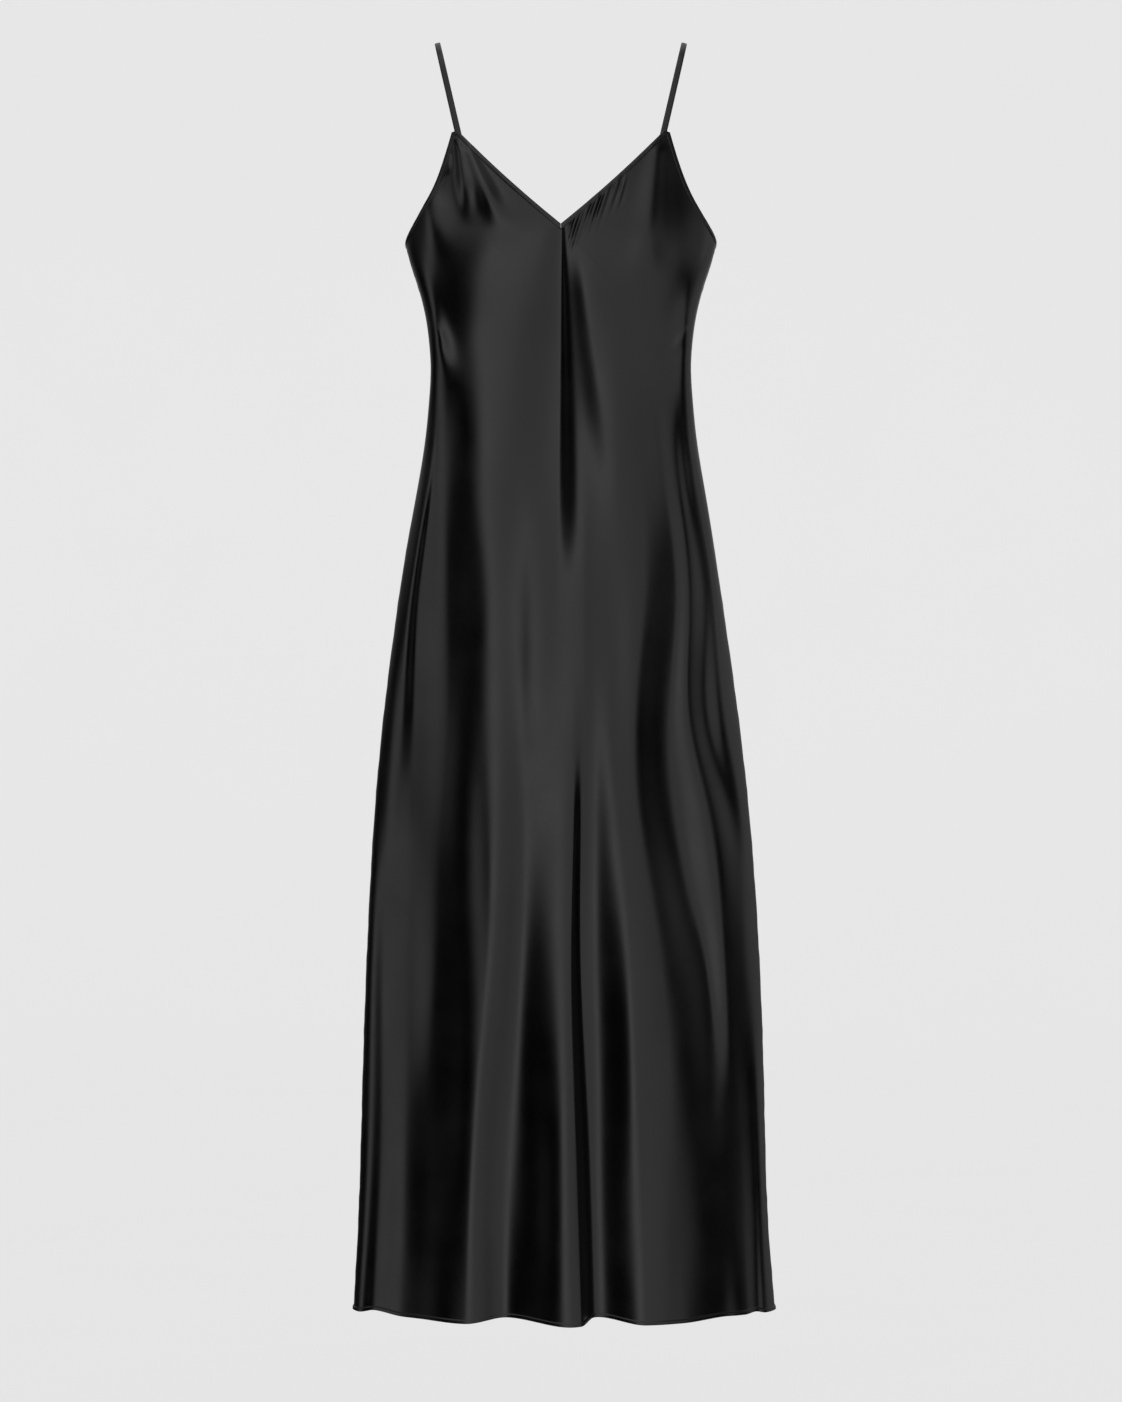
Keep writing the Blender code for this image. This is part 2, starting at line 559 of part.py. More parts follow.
def tangent_point(centre, radius, point, side):
    """Where the line from point touches the circle, on the side given (-1 front, 1 back)."""
    away = np.array(point) - np.array(centre)
    distance = float(np.hypot(*away))
    turn = math.acos(radius / distance)
    base = math.atan2(away[1], away[0])
    angle = base + side * turn
    if angle < -math.pi / 2:
        angle += 2 * math.pi
    return np.array(centre) + radius * np.array([math.cos(angle), math.sin(angle)]), angle


def strap(name, side, material):
    """A ribbon from the strap point, straight to the shoulder, over it and straight down to the back."""
    middle = STRAP_THICKNESS / 2
    radius = SHOULDER_RADIUS + middle
    centre = (SHOULDER_Y, -SHOULDER_RADIUS)
    peak_share = (PEAK_INNER + PEAK_OUTER) / 2
    peak_z = (PEAK_INNER_Z + PEAK_OUTER_Z) / 2
    start = front.at(np.array([peak_share]), np.array([peak_z]))[0]
    back_share = share_at(back, STRAP_BACK_X, UNDERARM_Z)
    end_z = float(back_height(np.array([back_share]))[0])
    end = back.at(np.array([back_share]), np.array([end_z]))[0]
    first, first_angle = tangent_point(centre, radius, (start[1], start[2]), -1)
    last, last_angle = tangent_point(centre, radius, (end[1], end[2]), 1)
    line = []
    for t in np.linspace(0, 1, STRAP_LINE_STEPS, endpoint=False):
        line.append(np.array([start[1], start[2]]) * (1 - t) + first * t)
    for t in np.linspace(0, 1, STRAP_ARC_STEPS, endpoint=False):
        angle = first_angle + (last_angle - first_angle) * t
        line.append(np.array(centre) + radius * np.array([math.cos(angle), math.sin(angle)]))
    for t in np.linspace(0, 1, STRAP_LINE_STEPS + 1):
        line.append(last * (1 - t) + np.array([end[1], end[2]]) * t)
    line = np.array(line)
    x = STRAP_CREST_X + STRAP_LEAN * line[:, 1]
    points = np.stack([side * x, line[:, 0], line[:, 1]], axis=-1)
    along = np.gradient(points, axis=0)
    along /= np.linalg.norm(along, axis=1, keepdims=True)
    points[0] += along[0] * STRAP_CLEAR_FRONT
    points[-1] -= along[-1] * STRAP_CLEAR_BACK
    width = np.array([1, 0, -side * STRAP_LEAN])
    width /= np.linalg.norm(width)
    out = np.cross(np.broadcast_to(width, along.shape), along)
    out /= np.linalg.norm(out, axis=1, keepdims=True)
    rails = np.array([points - width * STRAP_WIDTH / 2, points + width * STRAP_WIDTH / 2])
    return wall(name, rails, np.array([out, out]), STRAP_THICKNESS, material)


def satin(name, roughness):
    made = bpy.data.materials.new(name)
    made.use_nodes = True
    shader = made.node_tree.nodes["Principled BSDF"]
    shader.inputs["Base Color"].default_value = SATIN_COLOUR
    shader.inputs["Roughness"].default_value = roughness
    shader.inputs["Metallic"].default_value = 0.0
    return made


def main():
    for obj in list(bpy.data.objects):
        bpy.data.objects.remove(obj)
    cloth = satin("satin", 0.35)
    trim = satin("satin_binding", 0.45)
    shares = front_columns()
    panel("front_panel", front, shares, front_edge(shares), cloth)
    back_shares = back_columns()
    panel("back_panel", back, back_shares, back_height(back_shares), cloth)
    bindings(shares, trim)
    strap("strap_right", -1, trim)
    strap("strap_left", 1, trim)


main()
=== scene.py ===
"""The looks of a long black satin slip dress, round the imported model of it.

Metres, +Z up. The front faces -Y and the wearer's left is +X. The file is laid out as an add-on and
is run as a script: main() registers the classes and calls one operator for each group of pieces.
"""

import math

import bpy
import numpy as np
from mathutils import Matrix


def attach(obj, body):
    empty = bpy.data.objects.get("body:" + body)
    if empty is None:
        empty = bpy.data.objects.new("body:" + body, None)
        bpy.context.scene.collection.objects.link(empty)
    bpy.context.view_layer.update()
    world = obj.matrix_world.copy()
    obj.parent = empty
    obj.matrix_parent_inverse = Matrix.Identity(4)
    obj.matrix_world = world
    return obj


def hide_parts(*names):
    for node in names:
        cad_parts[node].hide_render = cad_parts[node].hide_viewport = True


bl_info = {
    "name": "Satin Slip Dress",
    "version": (1, 0, 0),
    "blender": (4, 5, 0),
    "location": "3D View > Sidebar > Slip Dress",
    "description": "Drapes the satin, binds the edges, and sews and lights a long slip dress",
    "category": "Object",
}

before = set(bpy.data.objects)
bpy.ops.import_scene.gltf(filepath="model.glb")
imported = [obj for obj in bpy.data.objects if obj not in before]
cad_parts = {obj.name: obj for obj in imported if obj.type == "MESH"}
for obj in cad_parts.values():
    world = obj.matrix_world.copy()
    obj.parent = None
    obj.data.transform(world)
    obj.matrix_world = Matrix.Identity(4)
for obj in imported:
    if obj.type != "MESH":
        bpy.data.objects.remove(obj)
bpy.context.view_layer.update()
BODY = "root"

# ---------------------------------------------------------------- the cut, as in the part's source

HEM_Z = -1.340
NECK_POINT_Z = -0.2012
UNDERARM_Z = -0.2120
BACK_DIP = 0.014
FAN_START_Z = -0.350
NECK_SLOPE = 0.818
NECK_CURVE = 1.19

PEAK_INNER_X = 0.1080
PEAK_INNER_Z = -0.0990
PEAK_OUTER_X = 0.1141
PEAK_OUTER_Z = -0.1007

STRAP_CREST_X = 0.1306
STRAP_LEAN = 0.2305
SHOULDER_RADIUS = 0.045
SHOULDER_Y = 0.004
STRAP_BACK_X = 0.0808

HEM_WAVE = 0.30  # how far the hem dips where a fold stands forward, as a share of the fold
SEAM_CALM = 0.10  # share of the girth over which the folds die away towards a side seam

# Sections of the worn dress: half a rounded rectangle to the front and half to the back.
RING_COLUMNS = (
    "height", "centre_x", "half_width", "front", "back", "front_square", "back_square",
    "right_corner", "left_corner",
)
RINGS = (
    (-1.360, 0.0040, 0.2250, 0.1150, 0.1420, 1.90, 2.00, 0.000, 0.000),  # just under the hem
    (-1.250, 0.0025, 0.2172, 0.1150, 0.1400, 1.92, 2.00, 0.000, 0.000),
    (-1.119, 0.0025, 0.2131, 0.1150, 0.1370, 1.95, 2.00, 0.000, 0.000),  # shin
    (-0.907, 0.0020, 0.2048, 0.1160, 0.1330, 2.00, 2.05, 0.000, 0.000),  # knee
    (-0.801, 0.0010, 0.1972, 0.1170, 0.1310, 2.05, 2.10, 0.000, 0.000),
    (-0.695, 0.0000, 0.1858, 0.1175, 0.1285, 2.15, 2.15, 0.000, 0.000),  # thigh
    (-0.611, -0.0005, 0.1744, 0.1170, 0.1265, 2.25, 2.20, 0.000, 0.000),
    (-0.547, -0.0005, 0.1648, 0.1150, 0.1235, 2.40, 2.25, 0.000, 0.005),  # hip
    (-0.483, 0.0000, 0.1537, 0.1115, 0.1150, 2.75, 2.25, 0.000, 0.011),
    (-0.420, 0.0000, 0.1431, 0.1070, 0.1010, 3.30, 2.25, 0.000, 0.012),  # high hip
    (-0.377, 0.0000, 0.1385, 0.1045, 0.0910, 4.10, 2.25, 0.003, 0.012),
    (-0.346, 0.0000, 0.1367, 0.1050, 0.0860, 4.90, 2.25, 0.008, 0.012),  # waist
    (-0.324, 0.0000, 0.1378, 0.1070, 0.0850, 5.10, 2.25, 0.011, 0.012),
    (-0.293, 0.0000, 0.1420, 0.1120, 0.0870, 4.30, 2.25, 0.008, 0.013),  # under the bust
    (-0.261, 0.0000, 0.1500, 0.1170, 0.0910, 3.70, 2.25, 0.007, 0.009),
    (-0.229, 0.0000, 0.1602, 0.1195, 0.0940, 3.00, 2.25, 0.000, 0.009),  # bust
    (-0.200, 0.0000, 0.1650, 0.1165, 0.0955, 2.60, 2.25, 0.000, 0.006),  # underarm
    (-0.150, 0.0000, 0.1590, 0.1010, 0.0950, 2.45, 2.25, 0.000, 0.000),
    (-0.095, 0.0000, 0.1500, 0.0840, 0.0940, 2.40, 2.25, 0.000, 0.000),  # strap point
)
# A front corner is a soft ridge this wide whose crest is at this share of the half width.
CORNER_WIDTH = 0.014
CORNER_PLACE = 0.98

# Armhole edge, as x and height. It ends on the side seam at the underarm.
ARMHOLE = (
    (PEAK_OUTER_X, PEAK_OUTER_Z),
    (0.1206, -0.1235),
    (0.1295, -0.1500),
    (0.1410, -0.1745),
    (0.1525, -0.1935),
    (0.1608, -0.2065),
)

# Long folds of the skirt: x of the fold's line, and how far it stands forward, at each level.
LEVELS = (HEM_Z, -1.12, -0.97, -0.84, -0.71, -0.58, -0.46, -0.35)
CLOSEST_LINES = 0.002  # two lines count as at least this far apart
FRONT_FLUTES = (
    ("right_rim", (-0.2145, -0.205, -0.201, -0.194, -0.183, -0.1665, -0.146, -0.1345),
     (0.000, 0.000, 0.000, 0.000, 0.000, 0.000, 0.000, 0.000)),
    ("right_flute", (-0.196, -0.186, -0.184, -0.178, -0.167, -0.158, -0.137, -0.130),
     (-0.010, -0.009, -0.007, -0.001, 0.001, 0.003, 0.001, 0.000)),
    ("right_dip", (-0.166, -0.160, -0.156, -0.156, -0.153, -0.147, -0.132, -0.126),
     (-0.001, -0.001, -0.001, 0.001, -0.005, -0.005, -0.001, 0.000)),
    ("right_shoulder", (-0.145, -0.138, -0.128, -0.124, -0.116, -0.116, -0.120, -0.116),
     (0.001, 0.003, 0.008, 0.009, 0.006, 0.003, 0.000, 0.000)),
    ("right_ridge", (-0.100, -0.090, -0.077, -0.076, -0.080, -0.080, -0.092, -0.099),
     (0.009, 0.010, 0.014, 0.016, 0.015, 0.010, 0.004, 0.000)),
    ("front_dip", (-0.056, -0.049, -0.039, -0.036, -0.038, -0.036, -0.040, -0.044),
     (-0.010, -0.007, -0.001, 0.004, 0.008, 0.004, 0.000, 0.000)),
    ("front_ridge", (0.010, 0.005, 0.002, 0.000, 0.000, 0.000, 0.000, 0.000),
     (0.013, 0.013, 0.009, 0.007, 0.009, 0.003, 0.000, 0.000)),
    ("slit", (0.021, 0.014, 0.010, 0.012, 0.012, 0.012, 0.012, 0.012),
     (0.011, 0.011, 0.008, 0.006, 0.009, 0.003, 0.000, 0.000)),
    ("slit_ridge", (0.034, 0.028, 0.021, 0.021, 0.023, 0.023, 0.023, 0.023),
     (-0.011, -0.012, -0.010, -0.003, 0.008, 0.003, 0.000, 0.000)),
    ("front_left_dip", (0.038, 0.036, 0.033, 0.034, 0.034, 0.034, 0.034, 0.034),
     (-0.012, -0.013, -0.011, -0.005, 0.007, 0.002, 0.000, 0.000)),
    ("front_left_ridge", (0.089, 0.081, 0.073, 0.064, 0.052, 0.060, 0.060, 0.060),
     (0.011, 0.010, 0.007, 0.003, 0.009, 0.003, 0.001, 0.000)),
    ("left_shoulder", (0.126, 0.114, 0.104, 0.083, 0.072, 0.086, 0.082, 0.078),
     (0.009, 0.008, 0.005, 0.002, 0.009, 0.003, 0.001, 0.000)),
    ("left_dip", (0.176, 0.164, 0.150, 0.121, 0.113, 0.119, 0.106, 0.096),
     (-0.002, -0.002, -0.010, -0.013, -0.006, -0.005, 0.000, 0.000)),
    ("left_ridge", (0.194, 0.184, 0.173, 0.163, 0.134, 0.136, 0.122, 0.116),
     (-0.002, -0.002, 0.001, 0.003, 0.003, 0.002, 0.004, 0.000)),
    ("left_flute", (0.205, 0.198, 0.190, 0.184, 0.150, 0.148, 0.131, 0.128),
     (-0.006, -0.004, 0.001, -0.001, -0.002, -0.001, 0.001, 0.000)),
    ("left_rim", (0.2165, 0.2090, 0.2030, 0.1960, 0.1720, 0.1620, 0.1440, 0.1330),
     (0.000, 0.000, 0.000, 0.001, 0.007, 0.005, 0.001, 0.000)),
)
BACK_FLUTES = (
    ("right_flute", (-0.186, -0.182, -0.178, -0.172, -0.164, -0.154, -0.140, -0.130),
     (0.008, 0.007, 0.006, 0.004, 0.003, 0.002, 0.001, 0.000)),
    ("right_dip", (-0.150, -0.146, -0.142, -0.137, -0.131, -0.122, -0.114, -0.110),
     (-0.012, -0.010, -0.009, -0.007, -0.005, -0.003, -0.001, 0.000)),
    ("right_ridge", (-0.104, -0.100, -0.096, -0.093, -0.090, -0.085, -0.081, -0.080),
     (0.018, 0.014, 0.011, 0.009, 0.006, 0.004, 0.001, 0.000)),
    ("centre_right_dip", (-0.056, -0.052, -0.049, -0.046, -0.041, -0.040, -0.040, -0.040),
     (-0.016, -0.011, -0.008, -0.005, -0.002, -0.001, 0.000, 0.000)),
    ("centre_ridge", (-0.006, -0.004, -0.002, 0.001, 0.004, 0.004, 0.004, 0.004),
     (0.020, 0.014, 0.010, 0.005, 0.002, 0.000, 0.000, 0.000)),
    ("centre_left_dip", (0.044, 0.044, 0.044, 0.044, 0.044, 0.044, 0.044, 0.044),
     (-0.015, -0.011, -0.008, -0.005, -0.002, 0.000, 0.000, 0.000)),
    ("left_ridge", (0.098, 0.094, 0.091, 0.089, 0.086, 0.083, 0.081, 0.080),
     (0.018, 0.015, 0.012, 0.010, 0.007, 0.004, 0.001, 0.000)),
    ("left_dip", (0.150, 0.144, 0.139, 0.134, 0.127, 0.120, 0.114, 0.110),
     (-0.012, -0.010, -0.009, -0.007, -0.006, -0.003, -0.001, 0.000)),
    ("left_flute", (0.188, 0.184, 0.180, 0.175, 0.166, 0.156, 0.141, 0.130),
     (0.008, 0.007, 0.006, 0.004, 0.003, 0.002, 0.001, 0.000)),
)

# Short folds: a soft line from a top point to a bottom point. slope is the steepest of its left
# side as the wearer stands, + standing out and - sunk in. The wearer's right side is as wide as
# right_share says, so a small share makes a sharp pleat edge there. rise and fall are the shares
# of the fold's length over which it grows and dies away.
CREASE_COLUMNS = (
    "name", "top", "bottom", "top_width", "bottom_width", "slope", "right_share", "rise", "fall"
)
FRONT_CREASES = (
    ("neck_pleat", (0.0006, -0.2060), (-0.0055, -0.6200), 0.0026, 0.0210, -0.66, 4.00, 0.03, 0.42),
    ("second_pleat", (0.0190, -0.2120), (0.0610, -0.5000), 0.0260, 0.0520, 0.15, 0.46, 0.25, 0.50),
    ("pleat_to_side", (0.0050, -0.2080), (0.0926, -0.3185), 0.0012, 0.0016, 0.12, 1.00, 0.10, 0.30),
    ("right_fan_a", (-0.1085, -0.1080), (-0.0950, -0.2060), 0.0040, 0.0120, 0.90, 0.80, 0.10, 0.60),
    ("right_fan_b", (-0.1000, -0.1120), (-0.0600, -0.2140), 0.0045, 0.0170, 0.80, 0.80, 0.15, 0.60),
    ("right_fan_d", (-0.1050, -0.1120), (-0.0860, -0.1950), 0.0040, 0.0110, 0.50, 0.80, 0.15, 0.60),
    ("right_fan_c", (-0.1170, -0.1230), (-0.1190, -0.1500), 0.0030, 0.0050, 0.60, 1.00, 0.20, 0.60),
    ("right_drag", (-0.1430, -0.2500), (-0.1120, -0.3850), 0.0080, 0.0140, 0.26, 0.60, 0.45, 0.45),
    ("right_bust", (-0.1430, -0.1450), (-0.1280, -0.2500), 0.0160, 0.0200, 0.46, 0.80, 0.40, 0.60),
    ("right_waist_a", (-0.1340, -0.3020), (-0.1170, -0.3280), 0.0030, 0.0035, 0.30, 1.00, 0.30, 0.50),
    ("left_fan_a", (0.1020, -0.1120), (0.0850, -0.2750), 0.0060, 0.0180, 0.34, 1.20, 0.10, 0.50),
    ("left_waist_a", (0.1330, -0.3060), (0.1140, -0.3370), 0.0030, 0.0040, 0.32, 1.00, 0.20, 0.60),
)
BACK_CREASES = (
    ("left_blade_fold", (0.0800, -0.2200), (0.0640, -0.3400), 0.0050, 0.0120, -0.25, 1.00, 0.10, 0.60),
    ("right_blade_fold", (-0.0800, -0.2200), (-0.0660, -0.3300), 0.0050, 0.0120, -0.25, 1.00, 0.10, 0.60),
    ("small_of_back", (0.0040, -0.3000), (0.0000, -0.4700), 0.0120, 0.0160, -0.20, 1.00, 0.40, 0.50),
)
STEEPEST_OF_BELL = 0.858  # a bell curve one wide and one high is never steeper than this
CREASE_LEAD = 0.02  # a fold has begun this share of its length above its top point

# Gathers eased into the left neck edge
GATHER_START_X = 0.0060
GATHER_END_X = 0.0700
GATHERS = 6
GATHER_LENGTH = 0.0440
GATHER_START = 0.0050  # below the edge, where the binding ends
GATHER_RISE = 0.0040
GATHER_LEAN = 7.0  # share of the row that a gather leans over for each metre below the edge
GATHER_FADES = (8, 5)  # steepness with which the row grows and dies away along the edge
GATHER_UNEVEN = 0.30
GATHER_BEAT = 0.37  # swells of the unevenness for each gather

# ---------------------------------------------------------------- fine form, only here

# Slow unevenness of hanging cloth, as waves across the girth and down the length
DRAPE_WAVES = 18
DRAPE_SEED = 11
DRAPE_LEAN = 0.055
DRAPE_ACROSS = (35, 190)
DRAPE_DOWN = (2, 18)
DRAPE_IN_BODICE = 0.35  # share of it above the waist, where the cloth is held
DRAPE_GROWS_FROM = -0.25
DRAPE_GROWS_OVER = 0.30
SEAM_PUCKER = 0.0004
SEAM_PUCKER_REACH = 0.011
SEAM_PUCKER_START = 0.004
SEAM_PUCKER_TURNS = (320, 471)  # radians for each metre of seam
SEAM_PUCKER_LAG = 1.3
SEAM_GROOVE = 0.0005
SEAM_GROOVE_WIDTH = 0.0016
SEAM_SPREAD = 0.2
HEM_ROLL_HEIGHTS = (0.0, 0.0003, 0.0009, 0.0018, 0.0028, 0.0035, 0.0039, 0.0043, 0.0052, 0.0075)
HEM_EDGE_THICKNESS = 0.6  # of single cloth, where the roll turns under
HEM_ROLL_SQUARE = 6

# The grid of a panel. A crowd is a place, a reach and a strength, in shares of the half girth.
BODICE_ROWS = 0.42
BODICE_CROWDING = 1.35
UNDER_BINDING = 0.7  # share of the binding that a panel's edge lies under
FRONT_CROWDS = ((0.03, 0.05, 4.0), (0.24, 0.16, 1.2), (-0.40, 0.25, 0.5))
PEAK_CROWD = (0.03, 1.5)  # the reach and strength of the one at each strap point
BACK_CROWDS = ((0, 0.3, 0.3),)
BACK_COLUMNS_LESS = 40
CROWD_STEPS = 4000
GIRTH_STEPS = 241
SHARE_STEPS = 400
NECK_PASSES = 30  # each brings the neck edge nearer to its curve

# Bindings and straps. A groove is where it runs, how wide it is and how deep, in shares.
NECK_STATIONS = 90
ARM_STATIONS = 60
BACK_STATIONS = 121
STRAP_STATIONS = (36, 40, 60)  # up the front, over the shoulder and down the back
SECTION_SIDES = 18
BINDING_SQUARE = 3.2
BINDING_GROOVE = (0.76, 0.07, 0.14)
BINDING_RIPPLES = ((0.05, 900, 0), (0.04, 517, 1))
BINDING_GAP = 0.00012
STRAP_SQUARE = 3.6
STRAP_GROOVE = (0.5, 0.10, 0.16)
SHARP_EDGE = math.radians(60)

# How far out a row of stitches lies, as a share of the half thickness under it
BINDING_STITCH_LIFT = 0.98
STRAP_STITCH_LIFT = 0.97
HEM_STITCH_PLACE = 0.78  # up the rolled hem
HEM_STITCH_LIFT = 5e-5
HEM_STITCH_STATIONS = 500
HEM_STITCH_END = 0.995

# The satin's weave and sheen
WARP_TURN = math.radians(45)  # on the bias
FLOAT_SHARE = 0.16  # width of a thread over the length of its float
CLOUD_SCALE = 18.0
FLECK_SCALE = 240.0
CLOUD_SHINE = 0.16
FLECK_SHINE = 0.08
CLOUD_COLOUR = 0.6  # share of the change of colour that is cloudy; the rest follows the weave
WEAVE_BUMP = 0.25
WEAVE_HEIGHT = 0.25  # of a thread's width
BINDING_DULLER = 0.04
STRAP_DULLER = 0.02

# Soft light panels: start, end, softness of the start and of the end, and level. The turns are seen
# from the dress, in degrees: 0 is the front and +90 the wearer's left.
PANELS = (
    (-25, 57, 11, 12, 0.78),
    (-25, 2, 11, 18, 0.42),
    (-24, -8, 11, 14, 0.30),
    (110, 150, 9, 25, 0.27),
    (160, 200, 12, 5, 0.16),
    (170, 200, 7, 5, 0.75),
    (-200, -171, 5, 7, 0.75),
    (-200, -158, 5, 12, 0.16),
    (-112, -80, 9, 8, 0.68),
)
# A rise is the two heights of the sky, as sines, between which a light comes or goes.
LOW_LEVEL = 0.5  # share of the panels' light that is left at their foot
LOW_RISE = (-1.0, -0.2)
OVERHEAD = 0.8
OVERHEAD_START = (-96, -62)
OVERHEAD_END = (24, 62)
OVERHEAD_RISE = (0.26, 0.62)
BEHIND = 0.55
BEHIND_TURN = (128, 152)
BEHIND_RISE = (0.06, 0.26)
ZENITH = 0.4
ZENITH_RISE = (0.70, 0.90)
# Soft fill from the side: where it starts and ends round the dress, in degrees, and in height
SIDE_FILL = 0.55
SIDE_FILLS = (
    ((44, 68), (100, 130), (0.13, 0.22), (0.38, 0.55)),
    ((80, 94), (106, 130), (-0.04, 0.12), (0.13, 0.22)),
)
STAGE_FLOOR_Z = HEM_Z - 0.26
STAGE_FLAT = 7.0
STAGE_CORNER = 2.5
STAGE_TOP = 9.0
STAGE_HUB = 0.001
STAGE_STEPS = 24
STAGE_SIDES = 96
CAMERA_X = 0.0002
CAMERA_Z = -0.696
CAMERA_SENSOR = 36
CAMERA_REACH = 60


# ---------------------------------------------------------------- settings


class SatinSettings(bpy.types.PropertyGroup):
    colour: bpy.props.FloatVectorProperty(
        name="Colour", description="Colour of the satin", subtype="COLOR", size=3, min=0, max=1,
        default=(0.0014, 0.0014, 0.0015),
    )
    roughness: bpy.props.FloatProperty(
        name="Roughness", description="How far the satin spreads its shine", default=0.315, min=0, max=1,
        subtype="FACTOR",
    )
    thread: bpy.props.FloatProperty(
        name="Thread", description="Width of one thread of the weave", default=0.0004, min=0.0001,
        unit="LENGTH", precision=5,
    )


class ClothSettings(bpy.types.PropertyGroup):
    thickness: bpy.props.FloatProperty(
        name="Thickness", description="Thickness of the satin", default=0.0005, min=0.0002,
        unit="LENGTH", precision=5,
    )
    roll_depth: bpy.props.FloatProperty(
        name="Hem depth", description="Height of the rolled hem", default=0.0040, min=0.001,
        unit="LENGTH", precision=4,
    )
    roll_thickness: bpy.props.FloatProperty(
        name="Hem thickness", description="Thickness of the rolled hem", default=0.0018, min=0.0005,
        unit="LENGTH", precision=4,
    )
    gather_depth: bpy.props.FloatProperty(
        name="Gathers", description="Depth of the gathers at the left neck edge", default=0.0030,
        min=0, unit="LENGTH", precision=4,
    )
    columns: bpy.props.IntProperty(
        name="Columns", description="Mesh columns across each panel", default=256, min=40
    )
    rows: bpy.props.IntProperty(
        name="Rows", description="Mesh rows up each panel", default=170, min=40
    )


class TrimSettings(bpy.types.PropertyGroup):
    binding_width: bpy.props.FloatProperty(
        name="Binding", description="Finished width of the edge binding", default=0.0050, min=0.002,
        unit="LENGTH", precision=4,
    )
    binding_thickness: bpy.props.FloatProperty(
        name="Binding thickness", description="Thickness of the folded binding", default=0.0021,
        min=0.0005, unit="LENGTH", precision=4,
    )
    strap_width: bpy.props.FloatProperty(
        name="Strap", description="Width of a strap", default=0.0060, min=0.002, unit="LENGTH",
        precision=4,
    )
    strap_thickness: bpy.props.FloatProperty(
        name="Strap thickness", description="Thickness of a strap", default=0.0017, min=0.0005,
        unit="LENGTH", precision=4,
    )
    tuck: bpy.props.FloatProperty(
        name="Tuck", description="How far a strap runs on behind the binding", default=0.0045, min=0,
        unit="LENGTH", precision=4,
    )


class StitchSettings(bpy.types.PropertyGroup):
    length: bpy.props.FloatProperty(
        name="Stitch", description="Length of one stitch", default=0.0022, min=0.0005, unit="LENGTH",
        precision=4,
    )
    pitch: bpy.props.FloatProperty(
        name="Pitch", description="Distance from one stitch to the next", default=0.0028, min=0.001,
        unit="LENGTH", precision=4,
    )
    thread: bpy.props.FloatProperty(
        name="Thread", description="Diameter of the sewing thread", default=0.00032, min=0.0001,
        unit="LENGTH", precision=5,
    )


class StageSettings(bpy.types.PropertyGroup):
    distance: bpy.props.FloatProperty(
        name="Camera distance", description="From the camera to the middle of the dress", default=5.2,
        min=1, unit="LENGTH",
    )
    framed_height: bpy.props.FloatProperty(
        name="Framed height", description="Height of the picture at the dress", default=1.486, min=0.1,
        unit="LENGTH",
    )
    pale: bpy.props.FloatVectorProperty(
        name="Floor colour", description="Colour of the floor and the background", subtype="COLOR",
        size=3, min=0, max=1, default=(0.71, 0.71, 0.71),
    )
    room: bpy.props.FloatProperty(
        name="Room", description="Strength of the light between the panels", default=0.001, min=0
    )


# ---------------------------------------------------------------- curves through tables


def spline(places, values):
    """A natural cubic through the points, as a function of an array."""
    xs = np.array(places, float)
    ys = np.array(values, float)
    order = np.argsort(xs)
    xs, ys = xs[order], ys[order]
    steps = np.diff(xs)
    count = len(xs)
    system = np.eye(count)
    right = np.zeros(count)
    for i in range(1, count - 1):
        system[i, i - 1 : i + 2] = steps[i - 1], 2 * (steps[i - 1] + steps[i]), steps[i]
        right[i] = 6 * ((ys[i + 1] - ys[i]) / steps[i] - (ys[i] - ys[i - 1]) / steps[i - 1])
    bend = np.linalg.solve(system, right)

    def at(x):
        x = np.clip(x, xs[0], xs[-1])
        k = np.clip(np.searchsorted(xs, x) - 1, 0, count - 2)
        h = steps[k]
        a = (xs[k + 1] - x) / h
        b = 1 - a
        cubic = ((a**3 - a) * bend[k] + (b**3 - b) * bend[k + 1]) * h**2 / 6
        return a * ys[k] + b * ys[k + 1] + cubic

    return at


def ring_curve(name):
    """A column of RINGS, as a function of height."""
    places = [row[RING_COLUMNS.index("height")] for row in RINGS]
    return spline(places, [row[RING_COLUMNS.index(name)] for row in RINGS])


def ease(t):
    """0 before 0, 1 after 1, and a level start and end between them."""
    return (1 - np.cos(np.pi * np.clip(t, 0, 1))) / 2


def bell(away, reach):
    """1 in the middle, falling away smoothly on both sides."""
    return np.exp(-((away / reach) ** 2))


def unit(v):
    return v / np.maximum(np.linalg.norm(v, axis=-1, keepdims=True), 1e-12)


def run_along(points):
    """Distance of each point from the first one, along the line through them."""
    return np.concatenate([[0], np.cumsum(np.linalg.norm(np.diff(points, axis=0), axis=1))])


def crowded(start, end, count, crowds):
    """count places from start to end, closer together round each (place, reach, strength)."""
    fine = np.linspace(start, end, CROWD_STEPS)
    density = np.ones_like(fine)
    for place, reach, strength in crowds:
        density += strength * bell(fine - place, reach)
    run = np.concatenate([[0], np.cumsum((density[1:] + density[:-1]) / 2)])
    return np.interp(np.linspace(0, run[-1], count), run, fine)


centre_x = ring_curve("centre_x")
half_width = ring_curve("half_width")


# ---------------------------------------------------------------- the two cloth surfaces


